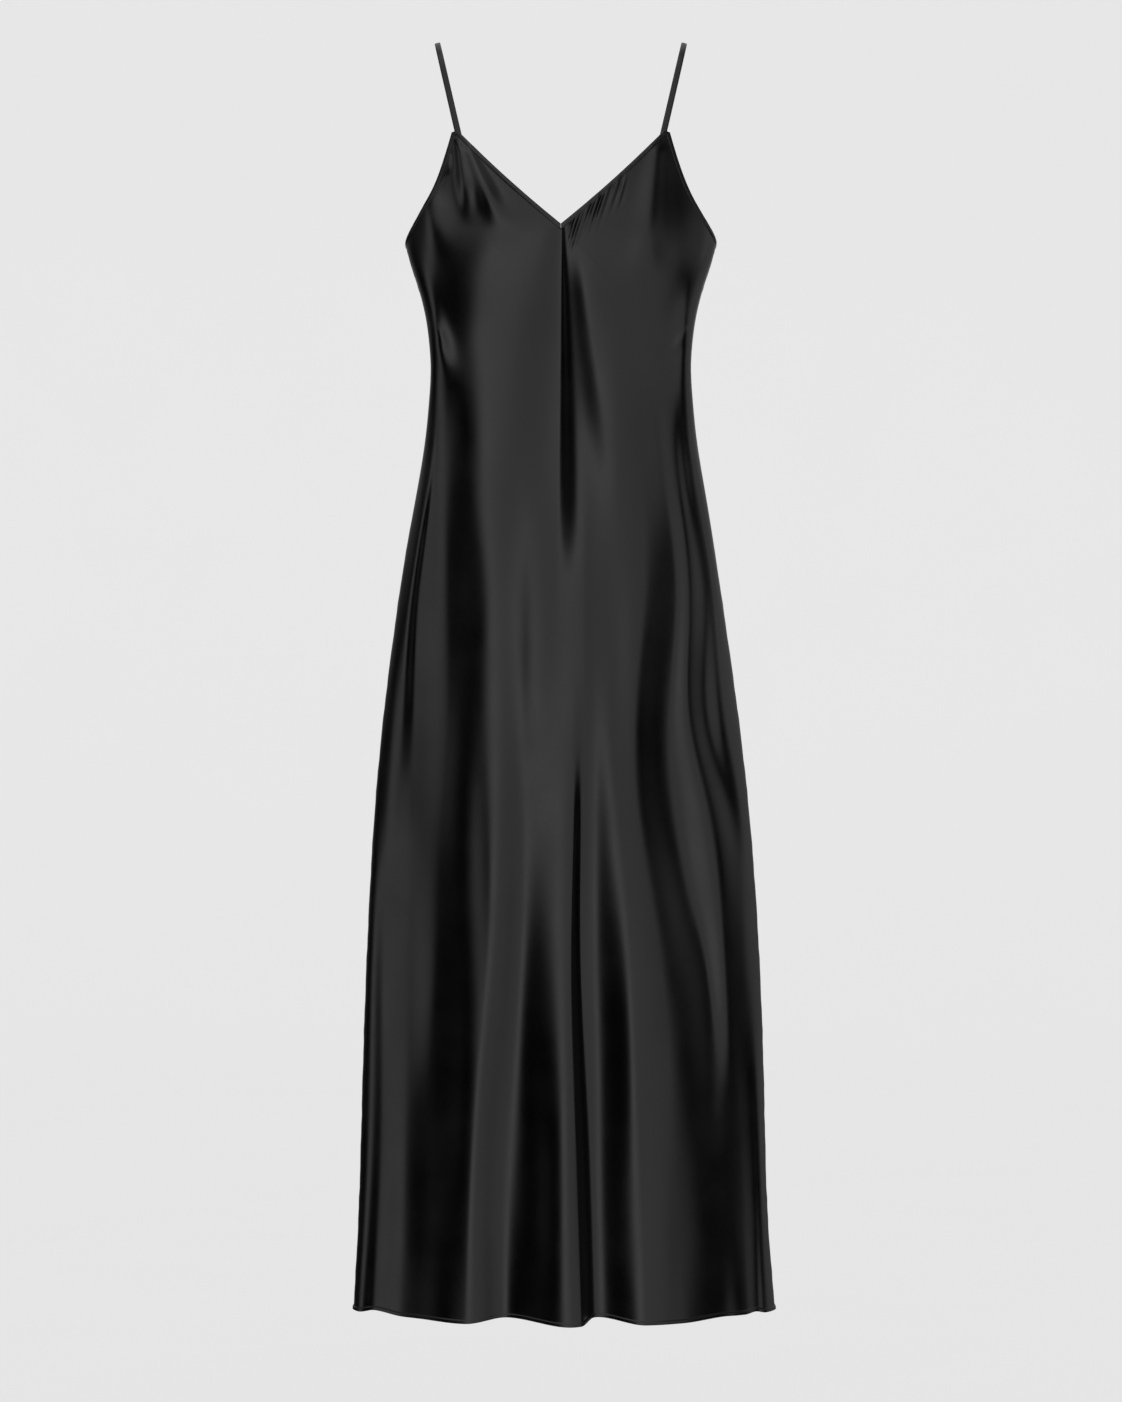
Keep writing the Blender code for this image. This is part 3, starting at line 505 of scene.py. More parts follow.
class Half:
    """The front or the back of the dress: a smooth half ring at each height, with its folds."""

    HEIGHTS = np.arange(-1.365, -0.085, 0.005)
    ANGLES = np.linspace(0, math.pi / 2, GIRTH_STEPS)
    SHARES = np.linspace(0, 1, GIRTH_STEPS)

    def __init__(self, facing, depth, square, flutes, creases, corners, seed):
        self.facing = facing
        self.depth = ring_curve(depth)
        self.square = ring_curve(square)
        self.flutes = [(spline(LEVELS, xs), spline(LEVELS, ds)) for _, xs, ds in flutes]
        self.creases = [dict(zip(CREASE_COLUMNS, row)) for row in creases]
        self.corners = [ring_curve(name) for name in corners]
        self.gather_depth = 0.0
        self.angles = np.empty((len(self.HEIGHTS), len(self.SHARES)))
        self.girths = np.empty(len(self.HEIGHTS))
        for i, z in enumerate(self.HEIGHTS):
            x, y = self.ring(self.ANGLES, np.full_like(self.ANGLES, z))
            run = np.concatenate([[0], np.cumsum(np.hypot(np.diff(x), np.diff(y)))])
            self.girths[i] = run[-1]
            self.angles[i] = np.interp(self.SHARES, run / run[-1], self.ANGLES)
        chance = np.random.default_rng(seed)
        across = chance.uniform(*DRAPE_ACROSS, DRAPE_WAVES) * chance.choice([-1, 1], DRAPE_WAVES)
        down = chance.uniform(*DRAPE_DOWN, DRAPE_WAVES)
        self.waves = list(zip(across, down, chance.uniform(0, 2 * math.pi, DRAPE_WAVES)))

    def ring(self, angle, z):
        """x and y of the smooth ring, with no folds."""
        sine = np.abs(np.sin(angle))
        n = self.square(z)
        reach = (1 - np.minimum(sine, 1) ** n) ** (1 / n)
        return centre_x(z) + half_width(z) * np.sin(angle), self.facing * self.depth(z) * reach

    def girth(self, z):
        """Length along the ring from the centre to the side seam."""
        return np.interp(z, self.HEIGHTS, self.girths)

    def angle(self, share, z):
        """The ring's angle at a share of its length from the centre, signed as the share is."""
        row = np.interp(z, self.HEIGHTS, np.arange(len(self.HEIGHTS)))
        col = np.abs(share) * (len(self.SHARES) - 1)
        r = np.clip(row.astype(int), 0, len(self.HEIGHTS) - 2)
        c = np.clip(col.astype(int), 0, len(self.SHARES) - 2)
        v, u = row - r, col - c
        low = self.angles[r, c] * (1 - u) + self.angles[r, c + 1] * u
        high = self.angles[r + 1, c] * (1 - u) + self.angles[r + 1, c + 1] * u
        return np.sign(share) * (low * (1 - v) + high * v)

    def flute(self, x, z):
        """How far the long folds stand forward: a curve through their lines, with no overshoot."""
        middle, side = centre_x(z) + 0 * x, half_width(z)
        lines = [middle - side] + [line(z) + 0 * x for line, _ in self.flutes] + [middle + side]
        depths = [0 * x] + [depth(z) + 0 * x for _, depth in self.flutes] + [0 * x]
        steps = np.maximum(np.diff(lines, axis=0), CLOSEST_LINES)
        slopes = np.diff(depths, axis=0) / steps
        product = np.maximum(slopes[1:] * slopes[:-1], 0)
        total = slopes[1:] + slopes[:-1]
        inner = 2 * product / np.where(np.abs(total) < 1e-9, 1, total)
        leans = [0 * x, *inner, 0 * x]
        stand = 0 * x
        for k, (start, step) in enumerate(zip(lines, steps)):
            t = np.clip((x - start) / step, 0, 1)
            curve = (3 * t**2 - 2 * t**3) * (depths[k + 1] - depths[k])
            curve = curve + (t**3 - 2 * t**2 + t) * step * leans[k] + (t**3 - t**2) * step * leans[k + 1]
            stand = stand + curve
        return stand

    def crease(self, x, z):
        """How far the short folds stand forward."""
        total = np.zeros_like(x)
        for c in self.creases:
            (x0, z0), (x1, z1) = c["top"], c["bottom"]
            t = (z0 - z) / (z0 - z1)
            inside = np.clip(t, 0, 1)
            width = c["top_width"] + (c["bottom_width"] - c["top_width"]) * inside
            across = (x - x0 - (x1 - x0) * inside) * math.cos(math.atan2(x1 - x0, z0 - z1))
            along = ease((t + CREASE_LEAD) / c["rise"]) * ease((1 - t) / c["fall"])
            depth = c["slope"] * width / STEEPEST_OF_BELL
            reach = np.where(across < 0, width * c["right_share"], width)
            total = total + depth * along * bell(across, reach)
        return total

    def corner(self, x, z):
        """How far the front's corners stand forward at the two sides of the body."""
        total = np.zeros_like(x)
        for side, height in zip((-1, 1), self.corners):
            away = side * (x - centre_x(z)) - CORNER_PLACE * half_width(z)
            total = total + height(z) * bell(away, CORNER_WIDTH)
        return total

    def gathers(self, x, z):
        """How far the gathers under the front's left neck edge stand forward."""
        if self.facing > 0:
            return np.zeros_like(x)
        run = (x - GATHER_START_X) / (GATHER_END_X - GATHER_START_X)
        below = neck_height(x) - z
        calm = ease(run * GATHER_FADES[0]) * ease((1 - run) * GATHER_FADES[1])
        calm = calm * ease((below - GATHER_START) / GATHER_RISE) * ease(1 - below / GATHER_LENGTH)
        beat = np.sin(2 * np.pi * GATHERS * run * GATHER_BEAT + 1)
        uneven = 1 - GATHER_UNEVEN + GATHER_UNEVEN * beat
        lean = run + GATHER_LEAN * below
        return self.gather_depth * calm * uneven * np.sin(2 * np.pi * GATHERS * lean)

    def unevenness(self, share, z):
        """Slow waves, each as high as gives all of them the same lean."""
        run = share * self.girth(z)
        total = sum(np.sin(a * run + d * z + p) / abs(a) for a, d, p in self.waves)
        grown = ease((DRAPE_GROWS_FROM - z) / DRAPE_GROWS_OVER)
        held = DRAPE_IN_BODICE + (1 - DRAPE_IN_BODICE) * grown
        return DRAPE_LEAN * total / math.sqrt(DRAPE_WAVES / 2) * held

    def at(self, share, z, fine=True):
        """Points of the middle of the cloth; fine adds the drape, the seam's groove and pucker."""
        x, y = self.ring(self.angle(share, z), z)
        from_seam = (1 - np.abs(share)) * self.girth(z)
        calm = ease((1 - np.abs(share)) / SEAM_CALM)
        folds = self.flute(x, z) + self.crease(x, z) + self.corner(x, z) + self.gathers(x, z)
        stand = folds * calm
        if fine:
            stand = stand + self.unevenness(share, z) * calm
            near = bell(from_seam, SEAM_PUCKER_REACH)
            slow, quick = SEAM_PUCKER_TURNS
            pucker = SEAM_PUCKER * near * (np.sin(z * slow) + np.sin(z * quick + SEAM_PUCKER_LAG)) / 2
            pucker = pucker * ease(from_seam / SEAM_PUCKER_START)
            groove = SEAM_GROOVE * bell(from_seam, SEAM_GROOVE_WIDTH)
            x = x - np.sign(share) * (groove + pucker) * ease(SEAM_SPREAD + near)
        return np.stack([x, y + self.facing * stand, z + 0 * x], axis=-1)

    def normals(self, share, z, fine=True):
        """Directions straight out of the cloth."""
        step = 1e-3
        inward = np.clip(np.abs(share), 0, 1 - step) * np.where(share < 0, -1, 1)
        across = self.at(inward + step, z, fine) - self.at(inward - step, z, fine)
        up = self.at(inward, z + step, fine) - self.at(inward, z - step, fine)
        return unit(np.cross(across, up) * -self.facing)


def neck_height(x):
    """Height of the front's neck edge over x."""
    return NECK_POINT_Z + NECK_SLOPE * np.abs(x) + NECK_CURVE * x**2


def back_height(share):
    """Height of the back's top edge at a share of its half girth."""
    return UNDERARM_Z - BACK_DIP * np.cos(np.pi / 2 * share) ** 2


def hem_height(half, shares):
    """Height of the hem: lower where a fold stands forward."""
    level = np.full_like(shares, HEM_Z)
    x, _ = half.ring(half.angle(shares, level), level)
    calm = ease((1 - np.abs(shares)) / SEAM_CALM)
    return HEM_Z - HEM_WAVE * half.flute(x, level) * calm


CORNERS = ("right_corner", "left_corner")
front = Half(-1, "front", "front_square", FRONT_FLUTES, FRONT_CREASES, CORNERS, DRAPE_SEED)
back = Half(1, "back", "back_square", BACK_FLUTES, BACK_CREASES, (), DRAPE_SEED + 1)


# ---------------------------------------------------------------- the top edge

CORNER_BEND = 0.2  # sine of the turn from which an edge has a corner


def share_at(half, x, z):
    """The share of the half girth where the ring at height z reaches this x."""
    shares = np.linspace(0, 1, SHARE_STEPS)
    xs, _ = half.ring(half.angle(shares, np.full_like(shares, z)), np.full_like(shares, z))
    return float(np.interp(x, xs, shares))


PEAK_INNER = share_at(front, PEAK_INNER_X, PEAK_INNER_Z)
PEAK_OUTER = share_at(front, PEAK_OUTER_X, PEAK_OUTER_Z)
PEAK = (PEAK_INNER + PEAK_OUTER) / 2
armhole_height = spline(
    [share_at(front, x, z) for x, z in ARMHOLE] + [1.0], [z for _, z in ARMHOLE] + [UNDERARM_Z]
)


def front_edge(shares):
    """Heights of the front's top edge at these shares: neck, strap point, armhole."""
    away = np.abs(shares)
    neck = np.full_like(away, NECK_POINT_Z)
    for _ in range(NECK_PASSES):
        x = front.ring(front.angle(away, neck), neck)[0]
        neck = neck_height(np.minimum(x, PEAK_INNER_X))
    t = (away - PEAK_INNER) / (PEAK_OUTER - PEAK_INNER)
    point = PEAK_INNER_Z + (PEAK_OUTER_Z - PEAK_INNER_Z) * t
    inner = np.where(away >= PEAK_INNER, point, neck)
    return np.where(away >= PEAK_OUTER, armhole_height(away), inner)


def inset(half, shares, heights, width):
    """The edge's points moved inwards on the cloth by width, with mitred corners.

    Between two corners the points are spread out again, so that none crosses a mitre.
    """
    points = np.stack([shares * half.girth(heights), heights], axis=-1)
    along = unit(np.diff(points, axis=0))
    before = np.vstack([[1, 0], along])
    after = np.vstack([along, [1, 0]])
    down_after = np.stack([after[:, 1], -after[:, 0]], axis=-1)
    down = unit(np.stack([before[:, 1], -before[:, 0]], axis=-1) + down_after)
    reach = width / np.sum(down * down_after, axis=1, keepdims=True)
    reach[0] = reach[-1] = width
    moved = points + down * reach
    moved[0, 0], moved[-1, 0] = points[0, 0], points[-1, 0]
    bend = np.abs(before[:, 0] * after[:, 1] - before[:, 1] * after[:, 0])
    corners = [0, *(np.nonzero(bend[1:-1] > CORNER_BEND)[0] + 1), len(points) - 1]
    for a, b in zip(corners[:-1], corners[1:]):
        run = moved[a : b + 1, 0].copy()
        inside = (run > run[0]) & (run < run[-1])
        inside[[0, -1]] = True
        t = (points[a : b + 1, 0] - points[a, 0]) / (points[b, 0] - points[a, 0])
        even = run[0] + (run[-1] - run[0]) * t
        moved[a : b + 1, 1] = np.interp(even, run[inside], moved[a : b + 1, 1][inside])
        moved[a : b + 1, 0] = even
    lower = moved[:, 1]
    lower_shares = np.clip(moved[:, 0] / half.girth(lower), -1, 1)
    lower_shares[[0, -1]] = shares[[0, -1]]
    return lower_shares, lower


# ---------------------------------------------------------------- meshes


def add_mesh(name, points, faces, material, uvs=None):
    """A mesh object with its place in its mesh; uvs is one pair of metres for each point."""
    mesh = bpy.data.meshes.new(name)
    mesh.from_pydata(points.tolist(), [], faces)
    if uvs is not None:
        layer = mesh.uv_layers.new(name="cloth")
        corners = np.empty(len(mesh.loops), int)
        mesh.loops.foreach_get("vertex_index", corners)
        layer.data.foreach_set("uv", np.asarray(uvs, np.float32)[corners].ravel())
    mesh.materials.append(material)
    mesh.shade_smooth()
    made = bpy.data.objects.new(name, mesh)
    bpy.context.scene.collection.objects.link(made)
    return made


def grid_wall(name, mid, normals, thickness, material, uvs):
    """A closed wall on a grid of mid points, half of thickness (one for each row) to each side."""
    rows, cols = mid.shape[:2]
    half_thick = (np.asarray(thickness).reshape(-1, 1, 1) / 2) * normals
    outer, inner = (mid + half_thick).reshape(-1, 3), (mid - half_thick).reshape(-1, 3)
    count = rows * cols
    index = np.arange(count).reshape(rows, cols)
    a, b, c, d = index[:-1, :-1], index[:-1, 1:], index[1:, 1:], index[1:, :-1]
    skin = np.stack([a, b, c, d], axis=-1).reshape(-1, 4)
    lining = np.stack([d, c, b, a], axis=-1).reshape(-1, 4) + count
    rim = np.concatenate([index[0, :], index[1:, -1], index[-1, -2::-1], index[-2:0:-1, 0]])
    after = np.roll(rim, -1)
    edge = np.stack([after, rim, rim + count, after + count], axis=-1)
    faces = np.concatenate([skin, lining, edge])
    side = np.cross(mid[0, 1] - mid[0, 0], mid[1, 0] - mid[0, 0])
    if np.dot(side, normals[0, 0]) < 0:
        faces = faces[:, ::-1]
    flat = uvs.reshape(-1, 2)
    return add_mesh(
        name, np.vstack([outer, inner]), faces.tolist(), material, np.vstack([flat, flat])
    )


def skin_round(index):
    """Four-sided faces between each loop of point numbers and the next, as corners a, b, c, d."""
    a, b = index[:-1], np.roll(index[:-1], -1, axis=1)
    d, c = index[1:], np.roll(index[1:], -1, axis=1)
    return np.stack([a, b, c, d], axis=-1).reshape(-1, 4)


def tube(name, loops, material, uvs):
    """A closed skin through loops of points, with its two ends capped."""
    count, sides = loops.shape[:2]
    index = np.arange(count * sides).reshape(count, sides)
    faces = skin_round(index).tolist() + [index[0, ::-1].tolist(), index[-1].tolist()]
    made = add_mesh(name, loops.reshape(-1, 3), faces, material, uvs.reshape(-1, 2))
    made.data.update()
    middle = loops[0].mean(axis=0)
    if np.dot(np.array(made.data.polygons[0].normal), loops[0, :2].mean(axis=0) - middle) < 0:
        made.data.flip_normals()
    made.data.set_sharp_from_angle(angle=SHARP_EDGE)
    return made


def folded_section(square, groove):
    """A rounded flat section: shares of the width from 0 to 1, and of the half thickness."""
    turn = np.linspace(0, 2 * math.pi, SECTION_SIDES, endpoint=False)
    across = np.sign(np.cos(turn)) * np.abs(np.cos(turn)) ** (2 / square)
    out = np.sign(np.sin(turn)) * np.abs(np.sin(turn)) ** (2 / square)
    across = (1 - across) / 2
    place, width, depth = groove
    return across, out * (1 - depth * bell(across - place, width))


def strip_uvs(run, width):
    """A folded strip laid out flat: round its section, and along its run."""
    girth = np.linspace(0, 2 * width, SECTION_SIDES, endpoint=False)
    return np.stack(np.broadcast_arrays(girth[None, :], run[:, None]), axis=-1)


# ---------------------------------------------------------------- shader maths


class Socket:
    """A node's output that takes part in Python expressions."""

    def __init__(self, nodes, output):
        self.nodes = nodes
        self.output = output

    def _math(self, operation, a, b):
        return self.nodes.add("ShaderNodeMath", {"operation": operation}, {0: a, 1: b})

    def __add__(self, other):
        return self._math("ADD", self, other)

    def __sub__(self, other):
        return self._math("SUBTRACT", self, other)

    def __mul__(self, other):
        return self._math("MULTIPLY", self, other)

    def __rsub__(self, other):
        return self._math("SUBTRACT", other, self)

    __radd__ = __add__
    __rmul__ = __mul__

    def rising(self, start, end):
        """0 at start, 1 at end and beyond, with a smooth way between them."""
        return self.nodes.add(
            "ShaderNodeMapRange", {"interpolation_type": "SMOOTHSTEP"}, {0: self, 1: start, 2: end}
        )


class Nodes:
    """A node tree, and the one way in which its nodes are added."""

    def __init__(self, owner, shader):
        owner.use_nodes = True
        self.owner = owner
        self.tree = owner.node_tree
        self.shader = self.tree.nodes[shader]

    def add(self, kind, settings=None, inputs=None, output=0):
        node = self.tree.nodes.new(kind)
        for key, value in (settings or {}).items():
            setattr(node, key, value)
        for key, value in (inputs or {}).items():
            self.put(node.inputs[key], value)
        return Socket(self, node.outputs[output])

    def put(self, socket, value):
        if isinstance(value, Socket):
            self.tree.links.new(value.output, socket)
        else:
            socket.default_value = value

    def surface(self, **inputs):
        """Sets the shader's inputs, and gives back what the tree belongs to."""
        for key, value in inputs.items():
            self.put(self.shader.inputs[key.replace("_", " ")], value)
        return self.owner


def material_nodes(name):
    return Nodes(bpy.data.materials.new(name), "Principled BSDF")


def toned(colour, times, more=0.0):
    """A colour made times as bright and lighter by more, at most white, with its alpha."""
    return tuple(min(1, c * times + more) for c in colour) + (1,)


def satin_material(name, settings, weave_turn, duller=0.0):
    """Black satin: long floats along the warp, and small changes of shine over the cloth."""
    nodes = material_nodes(name)
    place = nodes.add("ShaderNodeUVMap", {"uv_map": "cloth"})
    turned = nodes.add("ShaderNodeMapping", {}, {0: place, 2: (0, 0, weave_turn)})
    threads = (1 / settings.thread, FLOAT_SHARE / settings.thread, 1)
    floats = nodes.add("ShaderNodeMapping", {}, {0: turned, 3: threads})
    strands = nodes.add("ShaderNodeTexNoise", {}, {0: floats, "Scale": 1.0, "Detail": 2.0})
    clouds = nodes.add("ShaderNodeTexNoise", {}, {0: place, "Scale": CLOUD_SCALE, "Detail": 3.0})
    flecks = nodes.add("ShaderNodeTexNoise", {}, {0: turned, "Scale": FLECK_SCALE, "Detail": 2.0})
    ends = {6: toned(settings.colour, 1), 7: toned(settings.colour, 1.5, 0.001)}
    mixed = {0: clouds * CLOUD_COLOUR + strands * (1 - CLOUD_COLOUR), **ends}
    colour = nodes.add("ShaderNodeMix", {"data_type": "RGBA"}, mixed, 2)
    roughness = settings.roughness + duller
    shine = roughness + (clouds - 0.5) * CLOUD_SHINE + (flecks - 0.5) * FLECK_SHINE
    height = settings.thread * WEAVE_HEIGHT
    raised = {"Strength": WEAVE_BUMP, "Distance": height, "Height": strands}
    bump = nodes.add("ShaderNodeBump", {}, raised)
    return nodes.surface(Base_Color=colour, Roughness=shine, Normal=bump, Specular_IOR_Level=0.5)


def thread_material(name, settings):
    """Twisted sewing thread, a little duller than the satin."""
    nodes = material_nodes(name)
    place = nodes.add("ShaderNodeTexCoord", output=3)
    twist = nodes.add("ShaderNodeTexWave", {"bands_direction": "DIAGONAL"}, {0: place, "Scale": 900.0}, 1)
    ends = {6: toned(settings.colour, 1.3), 7: toned(settings.colour, 2.2, 0.002)}
    colour = nodes.add("ShaderNodeMix", {"data_type": "RGBA"}, {0: twist, **ends}, 2)
    bump = nodes.add("ShaderNodeBump", {}, {"Strength": 0.4, "Distance": 0.00005, "Height": twist})
    return nodes.surface(Base_Color=colour, Roughness=0.5 + twist * 0.1, Normal=bump)


def stage_material(name, pale):
    """An even pale surface that shows no horizon and only a soft shadow."""
    nodes = material_nodes(name)
    place = nodes.add("ShaderNodeTexCoord", output=3)
    grain = nodes.add("ShaderNodeTexNoise", {}, {0: place, "Scale": 3.0, "Detail": 2.0})
    ends = {6: toned(pale, 0.20), 7: toned(pale, 0.22)}
    colour = nodes.add("ShaderNodeMix", {"data_type": "RGBA"}, {0: grain, **ends}, 2)
    return nodes.surface(
        Base_Color=colour, Roughness=0.9, Specular_IOR_Level=0.0, Emission_Color=toned(pale, 1),
        Emission_Strength=1.0,
    )


# ---------------------------------------------------------------- satin panels


def panel_grid(half, shares, top_edge, inset_by, cloth):
    """Shares and heights of a panel's grid: level rows in the skirt, fanned rows in the bodice."""
    top_shares, top = inset(half, shares, top_edge, inset_by)
    hem = hem_height(half, shares)
    rolled = np.array(HEM_ROLL_HEIGHTS) / (FAN_START_Z - HEM_Z)
    bodice_rows = int(cloth.rows * BODICE_ROWS)
    skirt_rows = cloth.rows - bodice_rows - len(rolled)
    skirt = np.concatenate([rolled, np.linspace(rolled[-1], 1, skirt_rows + 1)[1:-1]])
    places, heights = [], []
    for t in skirt:
        places.append(shares)
        heights.append(hem + (FAN_START_Z - hem) * t)
    for t in np.linspace(0, 1, bodice_rows):
        grown = 1 - (1 - t) ** BODICE_CROWDING
        places.append(shares + (top_shares - shares) * ease(grown))
        heights.append(FAN_START_Z + (top - FAN_START_Z) * grown)
    return np.array(places), np.array(heights)


def roll_thickness(rows, cloth):
    """Thickness of each row: a rolled hem at the bottom, single cloth above it."""
    thick = np.full(rows, cloth.thickness)
    edge = cloth.thickness * HEM_EDGE_THICKNESS
    for i, up in enumerate(HEM_ROLL_HEIGHTS):
        t = up / cloth.roll_depth
        if t <= 1:
            round_off = math.sqrt(max(0, 1 - (2 * t - 1) ** HEM_ROLL_SQUARE))
            thick[i] = edge + (cloth.roll_thickness - edge) * round_off
    return thick


def hang_panel(name, half, shares, top_edge, node, scene, weave_turn):
    """One panel of satin in place of its hidden solid, hung on the body, with the flat size of its cloth.
    """
    cloth = scene.slip_cloth
    material = satin_material(name, scene.slip_satin, weave_turn)
    under = scene.slip_trim.binding_width * UNDER_BINDING
    places, heights = panel_grid(half, shares, top_edge, under, cloth)
    mid = half.at(places, heights)
    normals = half.normals(places, heights)
    uvs = np.stack([places * half.girth(heights), heights], axis=-1)
    made = grid_wall(name, mid, normals, roll_thickness(len(mid), cloth), material, uvs)
    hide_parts(node)
    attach(made, BODY)
    corner = np.cross(mid[1:, :-1] - mid[:-1, :-1], mid[:-1, 1:] - mid[:-1, :-1])
    area = float(np.linalg.norm(corner, axis=-1).sum())
    wide = float(np.linalg.norm(np.diff(mid[0], axis=0), axis=-1).sum())
    tall = float(heights.max() - heights.min())
    return made, (wide, tall, area)


class SLIPDRESS_OT_front(bpy.types.Operator):
    """Hang the front panel, with its skirt folds, neck pleat, gathers and rolled hem"""

    bl_idname = "slipdress.front"
    bl_label = "Front"

    def execute(self, context):
        cloth = context.scene.slip_cloth
        front.gather_depth = cloth.gather_depth
        peaks = [(side * PEAK, *PEAK_CROWD) for side in (1, -1)]
        shares = crowded(-1, 1, cloth.columns, [*FRONT_CROWDS, *peaks])
        shares[np.argmin(np.abs(shares))] = 0
        for corner in (PEAK_INNER, PEAK_OUTER):
            for side in (-1, 1):
                shares[np.argmin(np.abs(shares - side * corner))] = side * corner
        made, (wide, tall, area) = hang_panel(
            "satin_front", front, shares, front_edge(shares), "front_panel", context.scene, WARP_TURN
        )
        return {"FINISHED"}


class SLIPDRESS_OT_back(bpy.types.Operator):
    """Hang the back panel, with its skirt folds and rolled hem"""

    bl_idname = "slipdress.back"
    bl_label = "Back"

    def execute(self, context):
        columns = context.scene.slip_cloth.columns - BACK_COLUMNS_LESS
        shares = crowded(-1, 1, columns, BACK_CROWDS)
        made, (wide, tall, area) = hang_panel(
            "satin_back", back, shares, back_height(shares), "back_panel", context.scene, -WARP_TURN
        )
        return {"FINISHED"}


# ---------------------------------------------------------------- bindings


def edge_band(half, shares, heights, width):
    """Upper and lower rows of the bound edge, with their normals."""
    low_shares, low = inset(half, shares, heights, width)
    return (
        half.at(shares, heights, False),
        half.at(low_shares, low, False),
        half.normals(shares, heights, False),
        half.normals(low_shares, low, False),
    )


def bound_edges(width):
    """The dress's three bound edges, as rows of points and normals from one end to the other."""
    neck = np.concatenate([np.linspace(0, PEAK_INNER, NECK_STATIONS), [PEAK]])
    arm = np.concatenate([[PEAK], np.linspace(PEAK_OUTER, 1, ARM_STATIONS)])
    shares = np.concatenate([-arm[::-1], -neck[::-1][1:], neck[1:], arm[1:]])
    band = edge_band(front, shares, front_edge(shares), width)
    centre = int(np.argmin(np.abs(shares)))
    right = int(np.argmin(np.abs(shares + PEAK)))
    left = int(np.argmin(np.abs(shares - PEAK)))
    back_shares = np.linspace(-1, 1, BACK_STATIONS)
    back_band = edge_band(back, back_shares, back_height(back_shares), width)
    under = [
        np.concatenate([f[: right + 1][::-1], b[1:-1], f[left:][::-1]])
        for f, b in zip(band, back_band)
    ]
    return {
        "neck_binding_right": [row[right : centre + 1] for row in band],
        "neck_binding_left": [row[centre : left + 1] for row in band],
        "underarm_binding": under,
    }


def pull_ends(rows, gap):
    """Moves a strip's end stations in along it, to leave a seam line."""
    for row in rows:
        row[0] += unit(row[1] - row[0]) * gap
        row[-1] += unit(row[-2] - row[-1]) * gap


def binding(name, band, trim, material):
    """A strip folded over a bound edge, sunk along its row of stitches."""
    upper, lower, upper_n, lower_n = (row.copy() for row in band)
    pull_ends([upper, lower], BINDING_GAP)
    across, out = folded_section(BINDING_SQUARE, BINDING_GROOVE)
    a = across[None, :, None]
    run = run_along(upper)
    ripple = 1 + sum(height * np.sin(run * turns + lag) for height, turns, lag in BINDING_RIPPLES)
    normal = unit(upper_n[:, None] * (1 - a) + lower_n[:, None] * a)
    loops = upper[:, None] * (1 - a) + lower[:, None] * a
    loops = loops + normal * (out[None, :, None] * trim.binding_thickness / 2 * ripple[:, None, None])
    made = tube(name, loops, material, strip_uvs(run, trim.binding_width))
    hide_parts(name.replace("bound_", ""))
    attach(made, BODY)
    return made


def beside(band, share, lift):
    """A line along a bound edge at a share of its width, lift metres off its middle."""
    upper, lower, upper_n, lower_n = band
    normal = unit(upper_n * (1 - share) + lower_n * share)
    return upper * (1 - share) + lower * share + normal * lift


class SLIPDRESS_OT_bindings(bpy.types.Operator):
    """Fold the satin bindings over the neck, the armholes and the back's top edge"""

    bl_idname = "slipdress.bindings"
    bl_label = "Bindings"

    def execute(self, context):
        trim, settings = context.scene.slip_trim, context.scene.slip_satin
        satin = satin_material("satin_binding", settings, WARP_TURN, BINDING_DULLER)
        for node, band in bound_edges(trim.binding_width).items():
            binding("bound_" + node, band, trim, satin)
        return {"FINISHED"}


# ---------------------------------------------------------------- straps


def tangent_point(centre, radius, point, side):
    """Where the line from point touches the circle, on the side given (-1 front, 1 back)."""
    away = np.array(point) - np.array(centre)
    turn = math.acos(radius / float(np.hypot(*away)))
    angle = math.atan2(away[1], away[0]) + side * turn
    if angle < -math.pi / 2:
        angle += 2 * math.pi
    return np.array(centre) + radius * np.array([math.cos(angle), math.sin(angle)]), angle


def strap_line(side, trim):
    """The middle line of a strap, the direction across it and the direction out of it."""
    radius = SHOULDER_RADIUS + trim.strap_thickness / 2
    centre = np.array((SHOULDER_Y, -SHOULDER_RADIUS))
    behind = trim.binding_thickness / 2 + trim.strap_thickness / 2
    peak_z = (PEAK_INNER_Z + PEAK_OUTER_Z) / 2
    start = front.at(np.array([PEAK]), np.array([peak_z]), False)[0][1:] + (behind, 0)
    back_share = share_at(back, STRAP_BACK_X, UNDERARM_Z)
    end_z = float(back_height(np.array([back_share]))[0])
    end = back.at(np.array([back_share]), np.array([end_z]), False)[0][1:] - (behind, 0)
    first, first_angle = tangent_point(centre, radius, start, -1)
    last, last_angle = tangent_point(centre, radius, end, 1)
    start = start + unit(start - first) * trim.tuck
    end = end + unit(end - last) * trim.tuck
    up, over, down = STRAP_STATIONS
    rise = start + (first - start) * np.linspace(0, 1, up, endpoint=False)[:, None]
    turn = first_angle + (last_angle - first_angle) * np.linspace(0, 1, over, endpoint=False)
    arc = centre + radius * np.stack([np.cos(turn), np.sin(turn)], axis=-1)
    fall = last + (end - last) * np.linspace(0, 1, down)[:, None]
    line = np.concatenate([rise, arc, fall])
    x = side * (STRAP_CREST_X + STRAP_LEAN * line[:, 1])
    points = np.stack([x, line[:, 0], line[:, 1]], axis=-1)
    along = unit(np.gradient(points, axis=0))
    across = np.broadcast_to(unit(np.array([side, 0, -STRAP_LEAN])), along.shape)
    out = unit(np.cross(along, across)) * side
    return points, across, out


